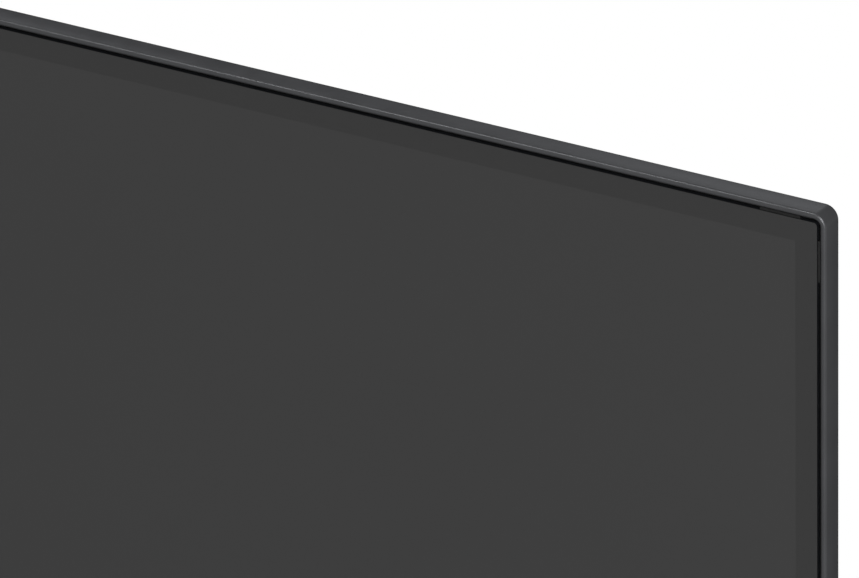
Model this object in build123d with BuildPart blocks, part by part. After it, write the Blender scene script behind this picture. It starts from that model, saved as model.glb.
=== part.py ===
"""Slim flat screen television on two feet, as an assembly of separate pieces, in millimetres.

X runs to the viewer's right, Y from the picture towards the back, Z up.
The origin is on the floor, under the middle of the whole set.
Places in the set are given as a depth behind the front of the lip and a height above the body's underside.
"""

import os
from math import cos, radians, sin, tan

from build123d import *

os.makedirs("parts", exist_ok=True)

# Picture and edge, the driving sizes
screen_width = 941.2
screen_height = 529.4
border_width = 7.6
cell_gap = 1.1
lip_width = 2.4
chin_height = 11.0
frame_depth = 8.2
floor_clearance = 60.0
front_set = 26.0
fit_gap = 0.3
touch_gap = 0.1
overrun = 1.0

# Bezel frame
frame_wall = 1.2
lip_depth = 1.6
frame_corner = 4.5
lip_outer_round = 0.6
lip_inner_round = 0.9
frame_back_round = 0.4

# Display cell
cell_recess = 0.7
polariser_thickness = 0.2
glass_thickness = 1.3
cell_corner = 1.2
tape_thickness = 0.4
tape_width = 3.0
tape_inset = 2.4

# Soft pads in the gap at the corners
pad_length = 14.0
pad_start = 6.0
pad_recess = 0.25
pad_side_gap = 0.1

# Mid frame, sheets and light guide
flange_thickness = 1.0
film_channel = 1.5
mid_wall = 1.4
pocket_gap = 0.5
window_margin = 1.5
guide_overlap = 4.0
prism_thickness = 0.5
diffuser_thickness = 0.6
guide_thickness = 2.0
reflector_thickness = 0.3

# Light bar and its heat spreader
led_gap = 0.3
led_height = 0.8
led_depth = 1.6
led_length = 3.0
led_count = 48
led_bar_thickness = 1.0
led_bar_depth = 1.8
spreader_thickness = 1.0
spreader_height = 40.0

# Rear chassis
chassis_thickness = 0.8
rib_height = 1.6
rib_width = 14.0
rib_length = 780.0
rib_pitch = 34.0
rib_count = 3
rib_drop = 46.0

# Back cover
cover_wall = 2.2
thin_depth = 14.2
edge_slope = 6.0
cover_corner = 8.0
bulge_depth = 60.0
bulge_side_step = 41.7
bulge_step = 14.0
bulge_height = 400.0
bulge_side_slope = 15.0
bulge_back_height = 352.0
bulge_corner = 16.0
bulge_back_round = 8.0

# Vents in the cover
vent_length = 34.0
vent_height = 3.2
vent_pitch_x = 42.0
vent_pitch_z = 9.0
vent_columns = 16
vent_rows = 3
sound_slot_length = 12.0
sound_slot_width = 2.4
sound_slot_pitch_x = 15.0
sound_slot_pitch_y = 6.0
sound_slot_columns = 7
sound_slot_rows = 5
intake_columns = 18

# Wall mount
vesa_spacing = 200.0
vesa_height = 235.0
vesa_bore = 2.5
vesa_bore_depth = 22.0
standoff_radius = 7.0
standoff_flange_radius = 12.0
standoff_flange = 2.0

# Cover screws and the nuts on the chassis
cover_screw_drop = 20.0
cover_screw_inset = 25.0
cover_screw_end = 51.7
cover_screw_columns = 5
side_screw_rows = 4
side_screw_low = 60.0
side_screw_pitch = 130.0
nut_radius = 3.2
nut_height = 2.2
screw_shank_radius = 1.5
screw_head_radius = 3.0
screw_head_height = 1.5
screw_drive_radius = 1.1
screw_drive_width = 0.7
screw_drive_depth = 0.7
screw_hole_gap = 0.2
thread_gap = 0.05
boss_radius = 5.6
boss_floor = 1.3

# Terminal pocket, its plate and the sockets
terminal_inset = 122.0
terminal_low = 92.0
terminal_high = 318.0
pocket_corner = 4.0
plate_thickness = 1.0
plate_margin = 8.0
plate_window_depth = 22.0
socket_proud = 0.4
cutout_gap = 0.35
hdmi_height = 15.0
hdmi_depth = 6.0
hdmi_length = 13.0
hdmi_shell = 0.5
hdmi_tongue = 1.0
hdmi_tongue_inset = 1.6
usb_height = 14.0
usb_depth = 6.8
usb_length = 16.0
usb_shell = 0.5
usb_tongue = 1.8
usb_tongue_inset = 0.9
lan_height = 16.0
lan_depth = 13.4
lan_length = 21.0
lan_mouth_height = 11.8
lan_mouth_depth = 8.2
lan_mouth_length = 14.0
lan_mouth_drop = 1.4
optical_size = 10.0
optical_length = 13.5
optical_mouth = 6.8
optical_cavity = 9.0
shutter_thickness = 0.6
shutter_gap = 0.25
shutter_pin_radius = 0.45
shutter_pin_gap = 0.05
shutter_pin_grip = 0.8
shutter_inset = 0.9
shutter_drop = 0.65
jack_size = 8.0
jack_length = 14.0
jack_bore = 1.8
jack_wall = 1.0
jack_collar = 3.2
tuner_height = 30.0
tuner_depth = 13.0
tuner_length = 46.0
antenna_radius = 4.76
antenna_length = 9.0
antenna_bore = 3.2
antenna_bore_depth = 7.0
antenna_contact_radius = 1.0

# Places of the sockets above the terminal pocket's lower edge, as shares of its height
tuner_share = 0.83
lan_share = 0.715
hdmi_shares = (0.615, 0.52, 0.425)
usb_shares = (0.335, 0.255)
optical_share = 0.175
jack_share = 0.10

# Circuit boards
post_height = 6.0
post_radius = 3.2
post_sides = 6
board_thickness = 1.6
board_edge = 8.0
board_screw_radius = 1.4
board_screw_head = 2.7
board_screw_head_height = 1.6
main_board_width = 142.0
main_board_height = 214.0
main_board_drop = 4.0
power_board_width = 200.0
power_board_height = 170.0
power_board_low = 100.0
inlet_inset = 90.0
timing_board_width = 150.0
timing_board_height = 45.0
timing_board_low = 350.0
source_board_end = 118.6
source_board_gap = 24.0
source_board_height = 13.0
source_board_low = 20.0
source_board_thickness = 0.8
driver_film_count = 8
driver_film_width = 46.0
driver_film_thickness = 0.2
driver_film_grip = 2.0
film_bend = 0.6
ribbon_width = 26.0
ribbon_thickness = 0.3
ribbon_x = 40.0
ribbon_grip = 10.0
ribbon_bend = 1.2

# Parts on the boards
chip_size = 18.0
chip_height = 2.0
memory_size = 11.0
memory_height = 1.2
sink_size = 44.0
sink_base = 2.5
sink_height = 12.0
sink_fins = 9
sink_fin = 1.2
transformer_width = 38.0
transformer_height = 34.0
transformer_depth = 24.0
transformer_core = 12.0
capacitor_radius = 9.0
capacitor_length = 32.0
power_sink_length = 60.0
power_sink_thickness = 2.0
power_sink_depth = 26.0

connector_width = 14.0
connector_height = 7.0
connector_depth = 8.0
connector_wall = 1.0

# Mains inlet and its pocket
inlet_low = 130.0
inlet_high = 190.0
inlet_height = 24.0
inlet_depth = 15.0
inlet_length = 20.0
inlet_mouth = 15.6
inlet_mouth_depth = 8.4
inlet_cavity = 13.0
inlet_pin_spacing = 8.6
inlet_pin_radius = 1.2
inlet_pin_length = 11.0

# Speakers
speaker_inset = 175.0
speaker_box_width = 120.0
speaker_box_height = 60.0
speaker_wall = 2.0
speaker_box_front = 13.0
speaker_box_back = 51.8
speaker_mouth_radius = 15.0
basket_radius = 17.2
basket_flange = 1.4
basket_height = 11.0
basket_wall = 1.0
basket_throat = 7.4
surround_outer = 15.2
surround_inner = 12.0
surround_thickness = 0.4
surround_rise = 1.3
cone_inner = 5.9
cone_height = 5.0
cone_wall = 0.5
former_length = 5.0
former_wall = 0.35
pole_radius = 4.9
pole_reach = 2.5
magnet_radius = 13.0
magnet_height = 8.0
yoke_thickness = 2.4

# Feet
foot_inset = 96.7
foot_width = 24.0
foot_reach = 104.0
foot_neck_front = 16.0
foot_neck_back = 50.0
foot_drop = 3.0
foot_toe = 20.0
foot_toe_height = 9.0
foot_crotch_height = 38.0
foot_bend = 14.0
foot_round = 2.4
foot_pad_height = 2.5
foot_pad_length = 16.0
foot_pad_width = 16.0
foot_pad_inset = 3.0
foot_pad_round = 2.0
foot_screw_radius = 2.0
foot_screw_head = 3.8
foot_screw_head_height = 2.6
foot_screw_spacing = 22.0
foot_screw_seat = 9.0
foot_screw_well = 40.0
foot_hole_gap = 0.3
bracket_width = 30.0
bracket_thickness = 2.0
bracket_height = 62.0
bracket_nut_radius = 4.0
bracket_nut_height = 4.0

# Sensor housing under the chin
sensor_width = 56.0
sensor_depth = 10.0
sensor_height = 8.5
sensor_front = 0.8
sensor_wall = 1.2
sensor_round = 2.4
sensor_window_thickness = 1.2
sensor_board_thickness = 1.0
sensor_eye_radius = 2.0
sensor_eye_height = 2.0
sensor_eye_offset = 12.0

# Control stick on the back
control_inset = 92.0
control_height = 46.0
control_board_size = 22.0
control_dish_radius = 13.0
control_dish_throat = 8.2
control_dish_depth = 3.6
control_dish_wall = 2.0
control_switch_size = 10.0
control_switch_height = 3.2
control_bore_depth = 2.2
control_post_radius = 2.4
control_post_offset = 8.0
plunger_radius = 2.15
plunger_run_gap = 0.05
plunger_travel = 0.4
plunger_neck = 1.0
plunger_base = 1.1
pivot_drop = 3.4
pivot_rise = 4.0
fork_spread = 2.6
fork_ear = 1.1
fork_width = 2.8
fork_reach = 1.4
cross_core = 3.0
cross_pin_radius = 0.7
cross_pin_gap = 0.06
knob_rise = 2.6
knob_radius = 6.4
knob_proud = 0.8
knob_round = 1.4

# Wires inside the body
wire_radius = 1.1
wire_bend = 7.0

# Sizes worked out from the driving ones
body_width = screen_width + 2 * (border_width + cell_gap + lip_width)
bulge_width = body_width - 2 * bulge_side_step
bulge_back_width = bulge_width - 2 * bulge_side_slope
cover_screw_pitch = (body_width - 2 * cover_screw_end) / (cover_screw_columns - 1)
terminal_x = bulge_width / 2 - terminal_inset
inlet_x = bulge_width / 2 - inlet_inset
speaker_x = bulge_width / 2 - speaker_inset
control_x = bulge_width / 2 - control_inset
foot_x = body_width / 2 - foot_inset
source_board_width = screen_width / 2 - source_board_end - source_board_gap / 2
source_board_x = (source_board_width + source_board_gap) / 2
body_height = screen_height + 2 * (border_width + cell_gap + lip_width) + chin_height
body_middle = floor_clearance + body_height / 2
cell_width = screen_width + 2 * border_width
cell_height = screen_height + 2 * border_width
cell_bottom = lip_width + chin_height + cell_gap
cell_middle = floor_clearance + cell_bottom + cell_height / 2
cell_back = cell_recess + polariser_thickness + glass_thickness
mid_front = cell_back + tape_thickness
mid_width = body_width - 2 * (frame_wall + fit_gap)
mid_low = frame_wall + film_channel
mid_high = body_height - frame_wall - fit_gap
prism_front = mid_front + flange_thickness
diffuser_front = prism_front + prism_thickness
guide_front = diffuser_front + diffuser_thickness
reflector_front = guide_front + guide_thickness
chassis_front = reflector_front + reflector_thickness
chassis_back = chassis_front + chassis_thickness
guide_width = screen_width + 2 * guide_overlap
guide_height = screen_height + 2 * guide_overlap
guide_low = cell_bottom + border_width - guide_overlap
spreader_low = guide_low - led_gap - led_height - led_bar_thickness - spreader_thickness
spreader_high = spreader_low + spreader_height
cover_front = chassis_back + touch_gap
bulge_bottom = floor_clearance + bulge_step
board_front = chassis_back + post_height
board_back = board_front + board_thickness
cover_floor = bulge_step + cover_wall
main_board_low = terminal_low + main_board_drop
terminal_span = terminal_high - terminal_low


def at_depth(depth):
    """The place on Y that lies this far behind the front of the lip."""
    return depth - front_set


def at_height(height):
    """The place on Z that lies this far above the body's underside."""
    return floor_clearance + height


def upright(depth):
    """An upright plane at a depth, seen from the front. Its normal points to the viewer."""
    return Plane.XZ.offset(-at_depth(depth))


def finish(piece, label):
    """Labels a finished piece and writes it."""
    piece.part.label = label
    export_step(piece.part, f"parts/{label}.step")


def board(label, width, height, depth, thickness, places):
    """Flat rectangular pieces of one thickness, each at a place given by its centre."""
    with BuildPart() as sheet:
        with BuildSketch(upright(depth)):
            with Locations(*places):
                Rectangle(width, height)
        extrude(amount=-thickness)
    finish(sheet, label)


def side_by_side(x):
    """The same distance to the left and to the right of the middle."""
    return (-x, x)


# Bezel frame, a ring with a rounded lip in front and a thin wall round the edge
with BuildPart() as bezel_frame:
    with BuildSketch(upright(0)):
        with Locations((0, body_middle)):
            RectangleRounded(body_width, body_height, frame_corner)
    extrude(amount=-frame_depth)
    with BuildSketch(upright(lip_depth)):
        with Locations((0, body_middle)):
            RectangleRounded(
                body_width - 2 * frame_wall, body_height - 2 * frame_wall, frame_corner - frame_wall
            )
    extrude(amount=-(frame_depth - lip_depth), mode=Mode.SUBTRACT)
    with BuildSketch(upright(0)):
        with Locations((0, body_middle)):
            RectangleRounded(
                body_width - 2 * lip_width, body_height - 2 * lip_width, frame_corner - lip_width
            )
    extrude(amount=-lip_depth, mode=Mode.SUBTRACT)
    fillet(bezel_frame.faces().sort_by(Axis.Y)[0].outer_wire().edges(), radius=lip_outer_round)
    fillet(bezel_frame.faces().sort_by(Axis.Y)[0].inner_wires()[0].edges(), radius=lip_inner_round)
    fillet(bezel_frame.faces().sort_by(Axis.Y)[-1].outer_wire().edges(), radius=frame_back_round)
finish(bezel_frame, "bezel_frame")

# Chin strip, which fills the lip's opening under the cell
chin_strip_height = chin_height - fit_gap
with BuildPart() as chin_strip:
    with BuildSketch(upright(cell_recess)):
        with Locations((0, at_height(lip_width + fit_gap + chin_strip_height / 2))):
            RectangleRounded(
                body_width - 2 * (lip_width + fit_gap), chin_strip_height, frame_corner - lip_width
            )
    extrude(amount=-(cell_back - cell_recess))
    fillet(
        chin_strip.faces().sort_by(Axis.Y)[0].edges().filter_by(Axis.X).sort_by(Axis.Z)[-1],
        radius=lip_inner_round / 2,
    )
finish(chin_strip, "chin_strip")


def cell_layer(label, depth, thickness):
    """One full layer of the display cell."""
    with BuildPart() as layer:
        with BuildSketch(upright(depth)):
            with Locations((0, cell_middle)):
                RectangleRounded(cell_width, cell_height, cell_corner)
        extrude(amount=-thickness)
    finish(layer, label)


cell_layer("front_polariser", cell_recess, polariser_thickness)
cell_layer("lcd_glass", cell_recess + polariser_thickness, glass_thickness)

# Foam tape between the cell and the mid frame
with BuildPart() as cell_tape:
    with BuildSketch(upright(cell_back)):
        with Locations((0, cell_middle)):
            Rectangle(cell_width - 2 * tape_inset, cell_height - 2 * tape_inset)
            Rectangle(
                cell_width - 2 * (tape_inset + tape_width),
                cell_height - 2 * (tape_inset + tape_width),
                mode=Mode.SUBTRACT,
            )
    extrude(amount=-tape_thickness)
finish(cell_tape, "cell_tape")

# Soft pads that centre the cell, two in the gap at each corner
pad_thickness = cell_gap - 2 * pad_side_gap
pad_middle = pad_start + pad_length / 2
pad_depth = mid_front - cell_recess - pad_recess
with BuildPart() as corner_pads:
    with BuildSketch(upright(cell_recess + pad_recess)):
        with Locations((0, cell_middle)):
            with GridLocations(cell_width - 2 * pad_middle, cell_height + cell_gap, 2, 2):
                Rectangle(pad_length, pad_thickness)
            with GridLocations(cell_width + cell_gap, cell_height - 2 * pad_middle, 2, 2):
                Rectangle(pad_thickness, pad_length)
    extrude(amount=-pad_depth)
finish(corner_pads, "corner_pads")

# Mid frame, which carries the cell on a flange and boxes in the sheets and the light guide
with BuildPart() as mid_frame:
    with BuildSketch(upright(mid_front)):
        with Locations((0, at_height((mid_low + mid_high) / 2))):
            RectangleRounded(mid_width, mid_high - mid_low, frame_corner - frame_wall - fit_gap)
    extrude(amount=-(chassis_front - mid_front))
    pocket_low = mid_low + mid_wall
    pocket_high = guide_low + guide_height + pocket_gap
    with BuildSketch(upright(prism_front)):
        with Locations((0, at_height((pocket_low + pocket_high) / 2))):
            Rectangle(guide_width + 2 * pocket_gap, pocket_high - pocket_low)
    extrude(amount=-(chassis_front - prism_front), mode=Mode.SUBTRACT)
    with BuildSketch(upright(mid_front)):
        with Locations((0, cell_middle)):
            Rectangle(screen_width + 2 * window_margin, screen_height + 2 * window_margin)
    extrude(amount=-flange_thickness, mode=Mode.SUBTRACT)
finish(mid_frame, "mid_frame")

# Optical stack behind the cell, front to back
guide_place = [(0, at_height(guide_low + guide_height / 2))]
board("prism_sheet", guide_width, guide_height, prism_front, prism_thickness, guide_place)
board("diffuser_sheet", guide_width, guide_height, diffuser_front, diffuser_thickness, guide_place)
board("light_guide", guide_width, guide_height, guide_front, guide_thickness, guide_place)
board("reflector_sheet", guide_width, guide_height, reflector_front, reflector_thickness, guide_place)

# Light bar with its chips, which shine up into the edge of the light guide
guide_centre = guide_front + guide_thickness / 2
led_top = guide_low - led_gap
bar_top = led_top - led_height
bar_low = bar_top - led_bar_thickness
led_pitch = guide_width / led_count
with BuildPart() as led_bar:
    with BuildSketch(upright(guide_centre - led_bar_depth / 2)):
        with Locations((0, at_height(bar_low + led_bar_thickness / 2))):
            Rectangle(guide_width, led_bar_thickness)
    extrude(amount=-led_bar_depth)
finish(led_bar, "led_bar")
with BuildPart() as led_chips:
    with BuildSketch(upright(guide_centre - led_depth / 2)):
        with Locations((0, at_height(bar_top + led_height / 2))):
            with GridLocations(led_pitch, led_height, led_count, 1):
                Rectangle(led_length, led_height)
    extrude(amount=-led_depth)
finish(led_chips, "led_chips")

# Heat spreader, an aluminium angle: its foot carries the light bar and its leg closes the back
with BuildPart() as heat_spreader:
    with BuildSketch(upright(guide_centre - led_bar_depth / 2)):
        with Locations((0, at_height(spreader_low + spreader_thickness / 2))):
            Rectangle(guide_width, spreader_thickness)
    extrude(amount=-(chassis_back - guide_centre + led_bar_depth / 2))
    with BuildSketch(upright(chassis_front)):
        with Locations((0, at_height(spreader_low + spreader_height / 2))):
            Rectangle(guide_width, spreader_height)
    extrude(amount=-chassis_thickness)
finish(heat_spreader, "heat_spreader")

# Places of the cover screws: a row along the top and a column up each side
cover_width = mid_width
cover_height = mid_high - frame_wall - fit_gap
cover_middle = at_height(frame_wall + fit_gap + cover_height / 2)
top_row = [
    (cover_screw_pitch * (column - (cover_screw_columns - 1) / 2), at_height(body_height - cover_screw_drop))
    for column in range(cover_screw_columns)
]
side_columns = [
    (x, at_height(side_screw_low + side_screw_pitch * row))
    for x in side_by_side(body_width / 2 - cover_screw_inset)
    for row in range(side_screw_rows)
]
cover_screw_places = top_row + side_columns

# Places of the boards and of the posts that carry them
main_board_right = terminal_x - cover_wall - plate_thickness - fit_gap
main_board_x = main_board_right - main_board_width / 2
power_board_left = -inlet_x + cover_wall + fit_gap
power_board_x = power_board_left + power_board_width / 2


def board_corners(x, width, low, height):
    """The four screw places of a board."""
    return [
        (x + side, at_height(low + height / 2) + rise)
        for side in side_by_side(width / 2 - board_edge)
        for rise in side_by_side(height / 2 - board_edge)
    ]


main_corners = board_corners(main_board_x, main_board_width, main_board_low, main_board_height)
power_corners = board_corners(power_board_x, power_board_width, power_board_low, power_board_height)
timing_ends = [(x, at_height(timing_board_low + timing_board_height / 2))
               for x in side_by_side(timing_board_width / 2 - board_edge)]
board_places = main_corners + power_corners + timing_ends

# Rear chassis, a steel sheet with pressed ribs across its upper part, nuts and board posts
chassis_low = spreader_high + fit_gap
with BuildPart() as rear_chassis:
    with BuildSketch(upright(chassis_front)):
        with Locations((0, at_height((chassis_low + mid_high) / 2))):
            RectangleRounded(mid_width, mid_high - chassis_low, frame_corner - frame_wall - fit_gap)
    extrude(amount=-chassis_thickness)
    with BuildSketch(upright(chassis_back)):
        with Locations((0, at_height(mid_high - rib_drop - rib_pitch * (rib_count - 1) / 2))):
            with GridLocations(rib_length, rib_pitch, 1, rib_count):
                SlotOverall(rib_length, rib_width)
    extrude(amount=-rib_height)
    with BuildSketch(upright(chassis_back)):
        with Locations(*cover_screw_places):
            Circle(nut_radius)
    extrude(amount=-nut_height)
    with BuildSketch(upright(chassis_back)):
        with Locations(*board_places):
            RegularPolygon(post_radius, post_sides)
    extrude(amount=-post_height)
    with BuildSketch(upright(chassis_front)):
        with Locations(*cover_screw_places):
            Circle(screw_shank_radius + thread_gap)
    extrude(amount=-(chassis_thickness + nut_height), mode=Mode.SUBTRACT)
    with BuildSketch(upright(chassis_back)):
        with Locations(*board_places):
            Circle(board_screw_radius + thread_gap)
    extrude(amount=-post_height, mode=Mode.SUBTRACT)
finish(rear_chassis, "rear_chassis")

# Back cover: a shallow tray with sloped edges, and behind it a deeper bulge with a pocket in each side
boss_front = chassis_back + nut_height + touch_gap
screw_seat = boss_front + boss_floor
notch_far = bulge_width / 2 + overrun
side_pockets = ((1, terminal_x, terminal_low, terminal_high), (-1, inlet_x, inlet_low, inlet_high))


def cover_form(wall, front):
    """The closed form of the cover, with its outer surfaces moved in by a wall."""
    with BuildPart() as form:
        with BuildSketch(upright(front)):
            with Locations((0, cover_middle)):
                RectangleRounded(cover_width - 2 * wall, cover_height - 2 * wall, frame_corner - frame_wall)
        with BuildSketch(upright(thin_depth - wall)):
            with Locations((0, cover_middle)):
                RectangleRounded(
                    cover_width - 2 * (edge_slope + wall),
                    cover_height - 2 * (edge_slope + wall),
                    cover_corner,
                )
        loft(ruled=True)
        with BuildSketch(upright(thin_depth - wall)):
            with Locations((0, bulge_bottom + bulge_height / 2)):
                RectangleRounded(bulge_width - 2 * wall, bulge_height - 2 * wall, bulge_corner)
        with BuildSketch(upright(bulge_depth - wall)):
            with Locations((0, bulge_bottom + bulge_back_height / 2)):
                RectangleRounded(bulge_back_width - 2 * wall, bulge_back_height - 2 * wall, bulge_corner)
        loft(ruled=True)
        fillet(form.faces().sort_by(Axis.Y)[-1].edges(), radius=bulge_back_round - wall)
        for side, near, low, high in side_pockets:
            left = near - wall
            right = notch_far + pocket_corner + wall
            with BuildSketch(upright(thin_depth - wall)):
                with Locations((side * (left + right) / 2, at_height((low + high) / 2))):
                    RectangleRounded(right - left, high - low + 2 * wall, pocket_corner + wall)
            extrude(amount=-(bulge_depth - thin_depth + wall + overrun), mode=Mode.SUBTRACT)
    return form.part


cover_outside = cover_form(0, cover_front)
cover_inside = cover_form(cover_wall, cover_front - overrun)
vesa_places = [(x, at_height(vesa_height + z)) for x in side_by_side(vesa_spacing / 2)
               for z in side_by_side(vesa_spacing / 2)]
control_centre = (control_x, at_height(control_height))
dish_floor = bulge_depth - control_dish_depth
dish_inner = dish_floor - control_dish_wall
pivot_depth = dish_inner - pivot_drop
switch_back = pivot_depth - pivot_rise
switch_front = switch_back - control_switch_height
speaker_y = at_depth((speaker_box_front + speaker_box_back) / 2)
foot_screw_y = at_depth((foot_neck_front + foot_neck_back) / 2)
foot_screw_places = [(x, foot_screw_y + y) for x in side_by_side(foot_x)
                     for y in side_by_side(foot_screw_spacing / 2)]
vent_middle = bulge_bottom + bulge_back_height + (bulge_height - bulge_back_height) / 2
intake_row = Plane.XY.offset(bulge_bottom - overrun)
post_places = [
    (control_x + side * control_post_offset, at_height(control_height) + side * control_post_offset)
    for side in (-1, 1)
]
window_depth = board_back + plate_window_depth / 2
terminal_middle = at_height((terminal_low + terminal_high) / 2)
inlet_middle = at_height((inlet_low + inlet_high) / 2)
inlet_centre_y = at_depth(board_back + inlet_depth / 2)

with BuildPart() as back_cover:
    add(cover_outside)
    add(cover_inside, mode=Mode.SUBTRACT)
    # Screw wells, each a boss that reaches in to its nut, with a seat for the screw's head
    with BuildSketch(upright(boss_front)):
        with Locations(*cover_screw_places):
            Circle(boss_radius)
    extrude(amount=-(thin_depth - cover_wall / 2 - boss_front))
    with BuildSketch(upright(screw_seat)):
        with Locations(*cover_screw_places):
            Circle(screw_head_radius + screw_hole_gap)
    extrude(amount=-(thin_depth + overrun - screw_seat), mode=Mode.SUBTRACT)
    with BuildSketch(upright(boss_front - overrun)):
        with Locations(*cover_screw_places):
            Circle(screw_shank_radius + screw_hole_gap)
    extrude(amount=-(boss_floor + 2 * overrun), mode=Mode.SUBTRACT)
    # Holes for the wall-mount posts
    with BuildSketch(upright(bulge_depth - cover_wall - overrun)):
        with Locations(*vesa_places):
            Circle(standoff_radius + fit_gap)
    extrude(amount=-(cover_wall + 2 * overrun), mode=Mode.SUBTRACT)
    # Warm air leaves through the upper slope
    with BuildSketch(upright(thin_depth + overrun)):
        with Locations((0, vent_middle)):
            with GridLocations(vent_pitch_x, vent_pitch_z, vent_columns, vent_rows):
                SlotOverall(vent_length, vent_height)
    extrude(amount=-(bulge_depth - thin_depth), mode=Mode.SUBTRACT)
    # Sound slots under the speakers, and air intakes between them
    with BuildSketch(intake_row):
        with Locations(*[(x, speaker_y) for x in side_by_side(speaker_x)]):
            with GridLocations(sound_slot_pitch_x, sound_slot_pitch_y, sound_slot_columns, sound_slot_rows):
                SlotOverall(sound_slot_length, sound_slot_width)
        with Locations((0, speaker_y)):
            with GridLocations(sound_slot_pitch_x, sound_slot_pitch_y * 2, intake_columns, 2):
                SlotOverall(sound_slot_length, sound_slot_width)
    extrude(amount=cover_wall + 2 * overrun, mode=Mode.SUBTRACT)
    # Holes for the feet's screws
    with BuildSketch(intake_row):
        with Locations(*foot_screw_places):
            Circle(foot_screw_radius + foot_hole_gap)
    extrude(amount=cover_wall + 2 * overrun, mode=Mode.SUBTRACT)
    # Dish round the control stick, with posts inside that carry its board
    with BuildSketch(upright(dish_inner)):
        with Locations(control_centre):
            Circle(control_dish_radius + control_dish_wall)
    extrude(amount=-(bulge_depth - cover_wall / 2 - dish_inner))
    with BuildSketch(upright(bulge_depth)):
        with Locations(control_centre):
            Circle(control_dish_radius)
    with BuildSketch(upright(dish_floor)):
        with Locations(control_centre):
            Circle(control_dish_radius - control_dish_depth)
    loft(ruled=True, mode=Mode.SUBTRACT)
    with BuildSketch(upright(dish_inner - overrun)):
        with Locations(control_centre):
            Circle(control_dish_throat)
    extrude(amount=-(control_dish_wall + 2 * overrun), mode=Mode.SUBTRACT)
    with BuildSketch(upright(switch_front)):
        with Locations(*post_places):
            Circle(control_post_radius)
    extrude(amount=-(dish_inner - switch_front))
    with BuildSketch(upright(switch_front)):
        with Locations(*post_places):
            Circle(board_screw_radius + thread_gap)
    extrude(amount=-post_height, mode=Mode.SUBTRACT)
    # Window beside the terminals and hole round the mains inlet
    with BuildSketch(Plane.YZ.offset(terminal_x - cover_wall - overrun)):
        with Locations((at_depth(window_depth), terminal_middle)):
            RectangleRounded(plate_window_depth, terminal_span - 2 * plate_margin, pocket_corner)
    extrude(amount=cover_wall + 2 * overrun, mode=Mode.SUBTRACT)
    with BuildSketch(Plane.YZ.offset(-inlet_x - overrun)):
        with Locations((inlet_centre_y, inlet_middle)):
            Rectangle(inlet_depth + 2 * cutout_gap, inlet_height + 2 * cutout_gap)
    extrude(amount=cover_wall + 2 * overrun, mode=Mode.SUBTRACT)
finish(back_cover, "back_cover")


def screws(label, rows):
    """Rows of screws: places, seat depth, way (1 points to the front), head and shank sizes."""
    with BuildPart() as group:
        for places, seat, way, head_radius, head_height, shank_radius, shank_length in rows:
            with BuildSketch(upright(seat)):
                with Locations(*places):
                    Circle(head_radius)
            extrude(amount=-way * head_height)
            with BuildSketch(upright(seat)):
                with Locations(*places):
                    Circle(shank_radius)
            extrude(amount=way * shank_length)
            with BuildSketch(upright(seat + way * (head_height - screw_drive_depth))):
                with Locations(*places):
                    Rectangle(2 * screw_drive_radius, screw_drive_width)
                    Rectangle(screw_drive_width, 2 * screw_drive_radius)
            extrude(amount=-way * (screw_drive_depth + overrun), mode=Mode.SUBTRACT)
    finish(group, label)


cover_shank = screw_seat - chassis_back + touch_gap
screws(
    "cover_screws",
    [(
        cover_screw_places, screw_seat, 1, screw_head_radius, screw_head_height, screw_shank_radius,
        cover_shank,
    )],
)

# Steel posts for a wall mount, which stand on the chassis and end flush with the cover
with BuildPart() as wall_mount_posts:
    with BuildSketch(upright(chassis_back)):
        with Locations(*vesa_places):
            Circle(standoff_flange_radius)
    extrude(amount=-standoff_flange)
    with BuildSketch(upright(chassis_back)):
        with Locations(*vesa_places):
            Circle(standoff_radius)
    extrude(amount=-(bulge_depth - chassis_back))
    with BuildSketch(upright(bulge_depth - vesa_bore_depth)):
        with Locations(*vesa_places):
            Circle(vesa_bore)
    extrude(amount=-(vesa_bore_depth + overrun), mode=Mode.SUBTRACT)
finish(wall_mount_posts, "wall_mount_posts")

control_board_front = switch_front - board_thickness
board_shank = board_thickness + post_height - touch_gap
board_head = (board_screw_head, board_screw_head_height, board_screw_radius)
screws("board_screws", [
    (board_places, board_back, 1, *board_head, board_shank),
    (post_places, control_board_front, -1, *board_head, board_shank),
])


def drilled_board(label, outlines, front, thickness, drill_places):
    """Boards of one thickness with holes for their screws."""
    with BuildPart() as plate:
        with BuildSketch(upright(front)):
            for x, z, width, height in outlines:
                with Locations((x, z)):
                    Rectangle(width, height)
            with Locations(*drill_places):
                Circle(board_screw_radius + screw_hole_gap, mode=Mode.SUBTRACT)
        extrude(amount=-thickness)
    finish(plate, label)


drilled_board(
    "main_board",
    [(main_board_x, at_height(main_board_low + main_board_height / 2), main_board_width, main_board_height)],
    board_front, board_thickness, main_corners,
)
drilled_board(
    "power_board",
    [(
        power_board_x, at_height(power_board_low + power_board_height / 2), power_board_width,
        power_board_height,
    )],
    board_front, board_thickness, power_corners,
)
drilled_board(
    "timing_board",
    [(0, at_height(timing_board_low + timing_board_height / 2), timing_board_width, timing_board_height)],
    board_front, board_thickness, timing_ends,
)

# Narrow driver boards behind the heat spreader, and the films that join them to the glass
source_board_front = chassis_back + 2 * driver_film_thickness
source_board_places = [(x, at_height(source_board_low + source_board_height / 2))
                       for x in side_by_side(source_board_x)]
board("source_boards", source_board_width, source_board_height, source_board_front,
      source_board_thickness, source_board_places)


def bent_strip(label, x_places, width, thickness, places, bend):
    """Flat strips of one section, bent along the side view of their middle, given as depths and heights."""
    with BuildPart() as strip:
        for x in x_places:
            with BuildSketch(Plane.YZ.offset(x - width / 2)):
                with BuildLine():
                    FilletPolyline(*[(at_depth(depth), at_height(height)) for depth, height in places],
                                   radius=bend)
                trace(line_width=thickness)
            extrude(amount=width)
    finish(strip, label)


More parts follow.
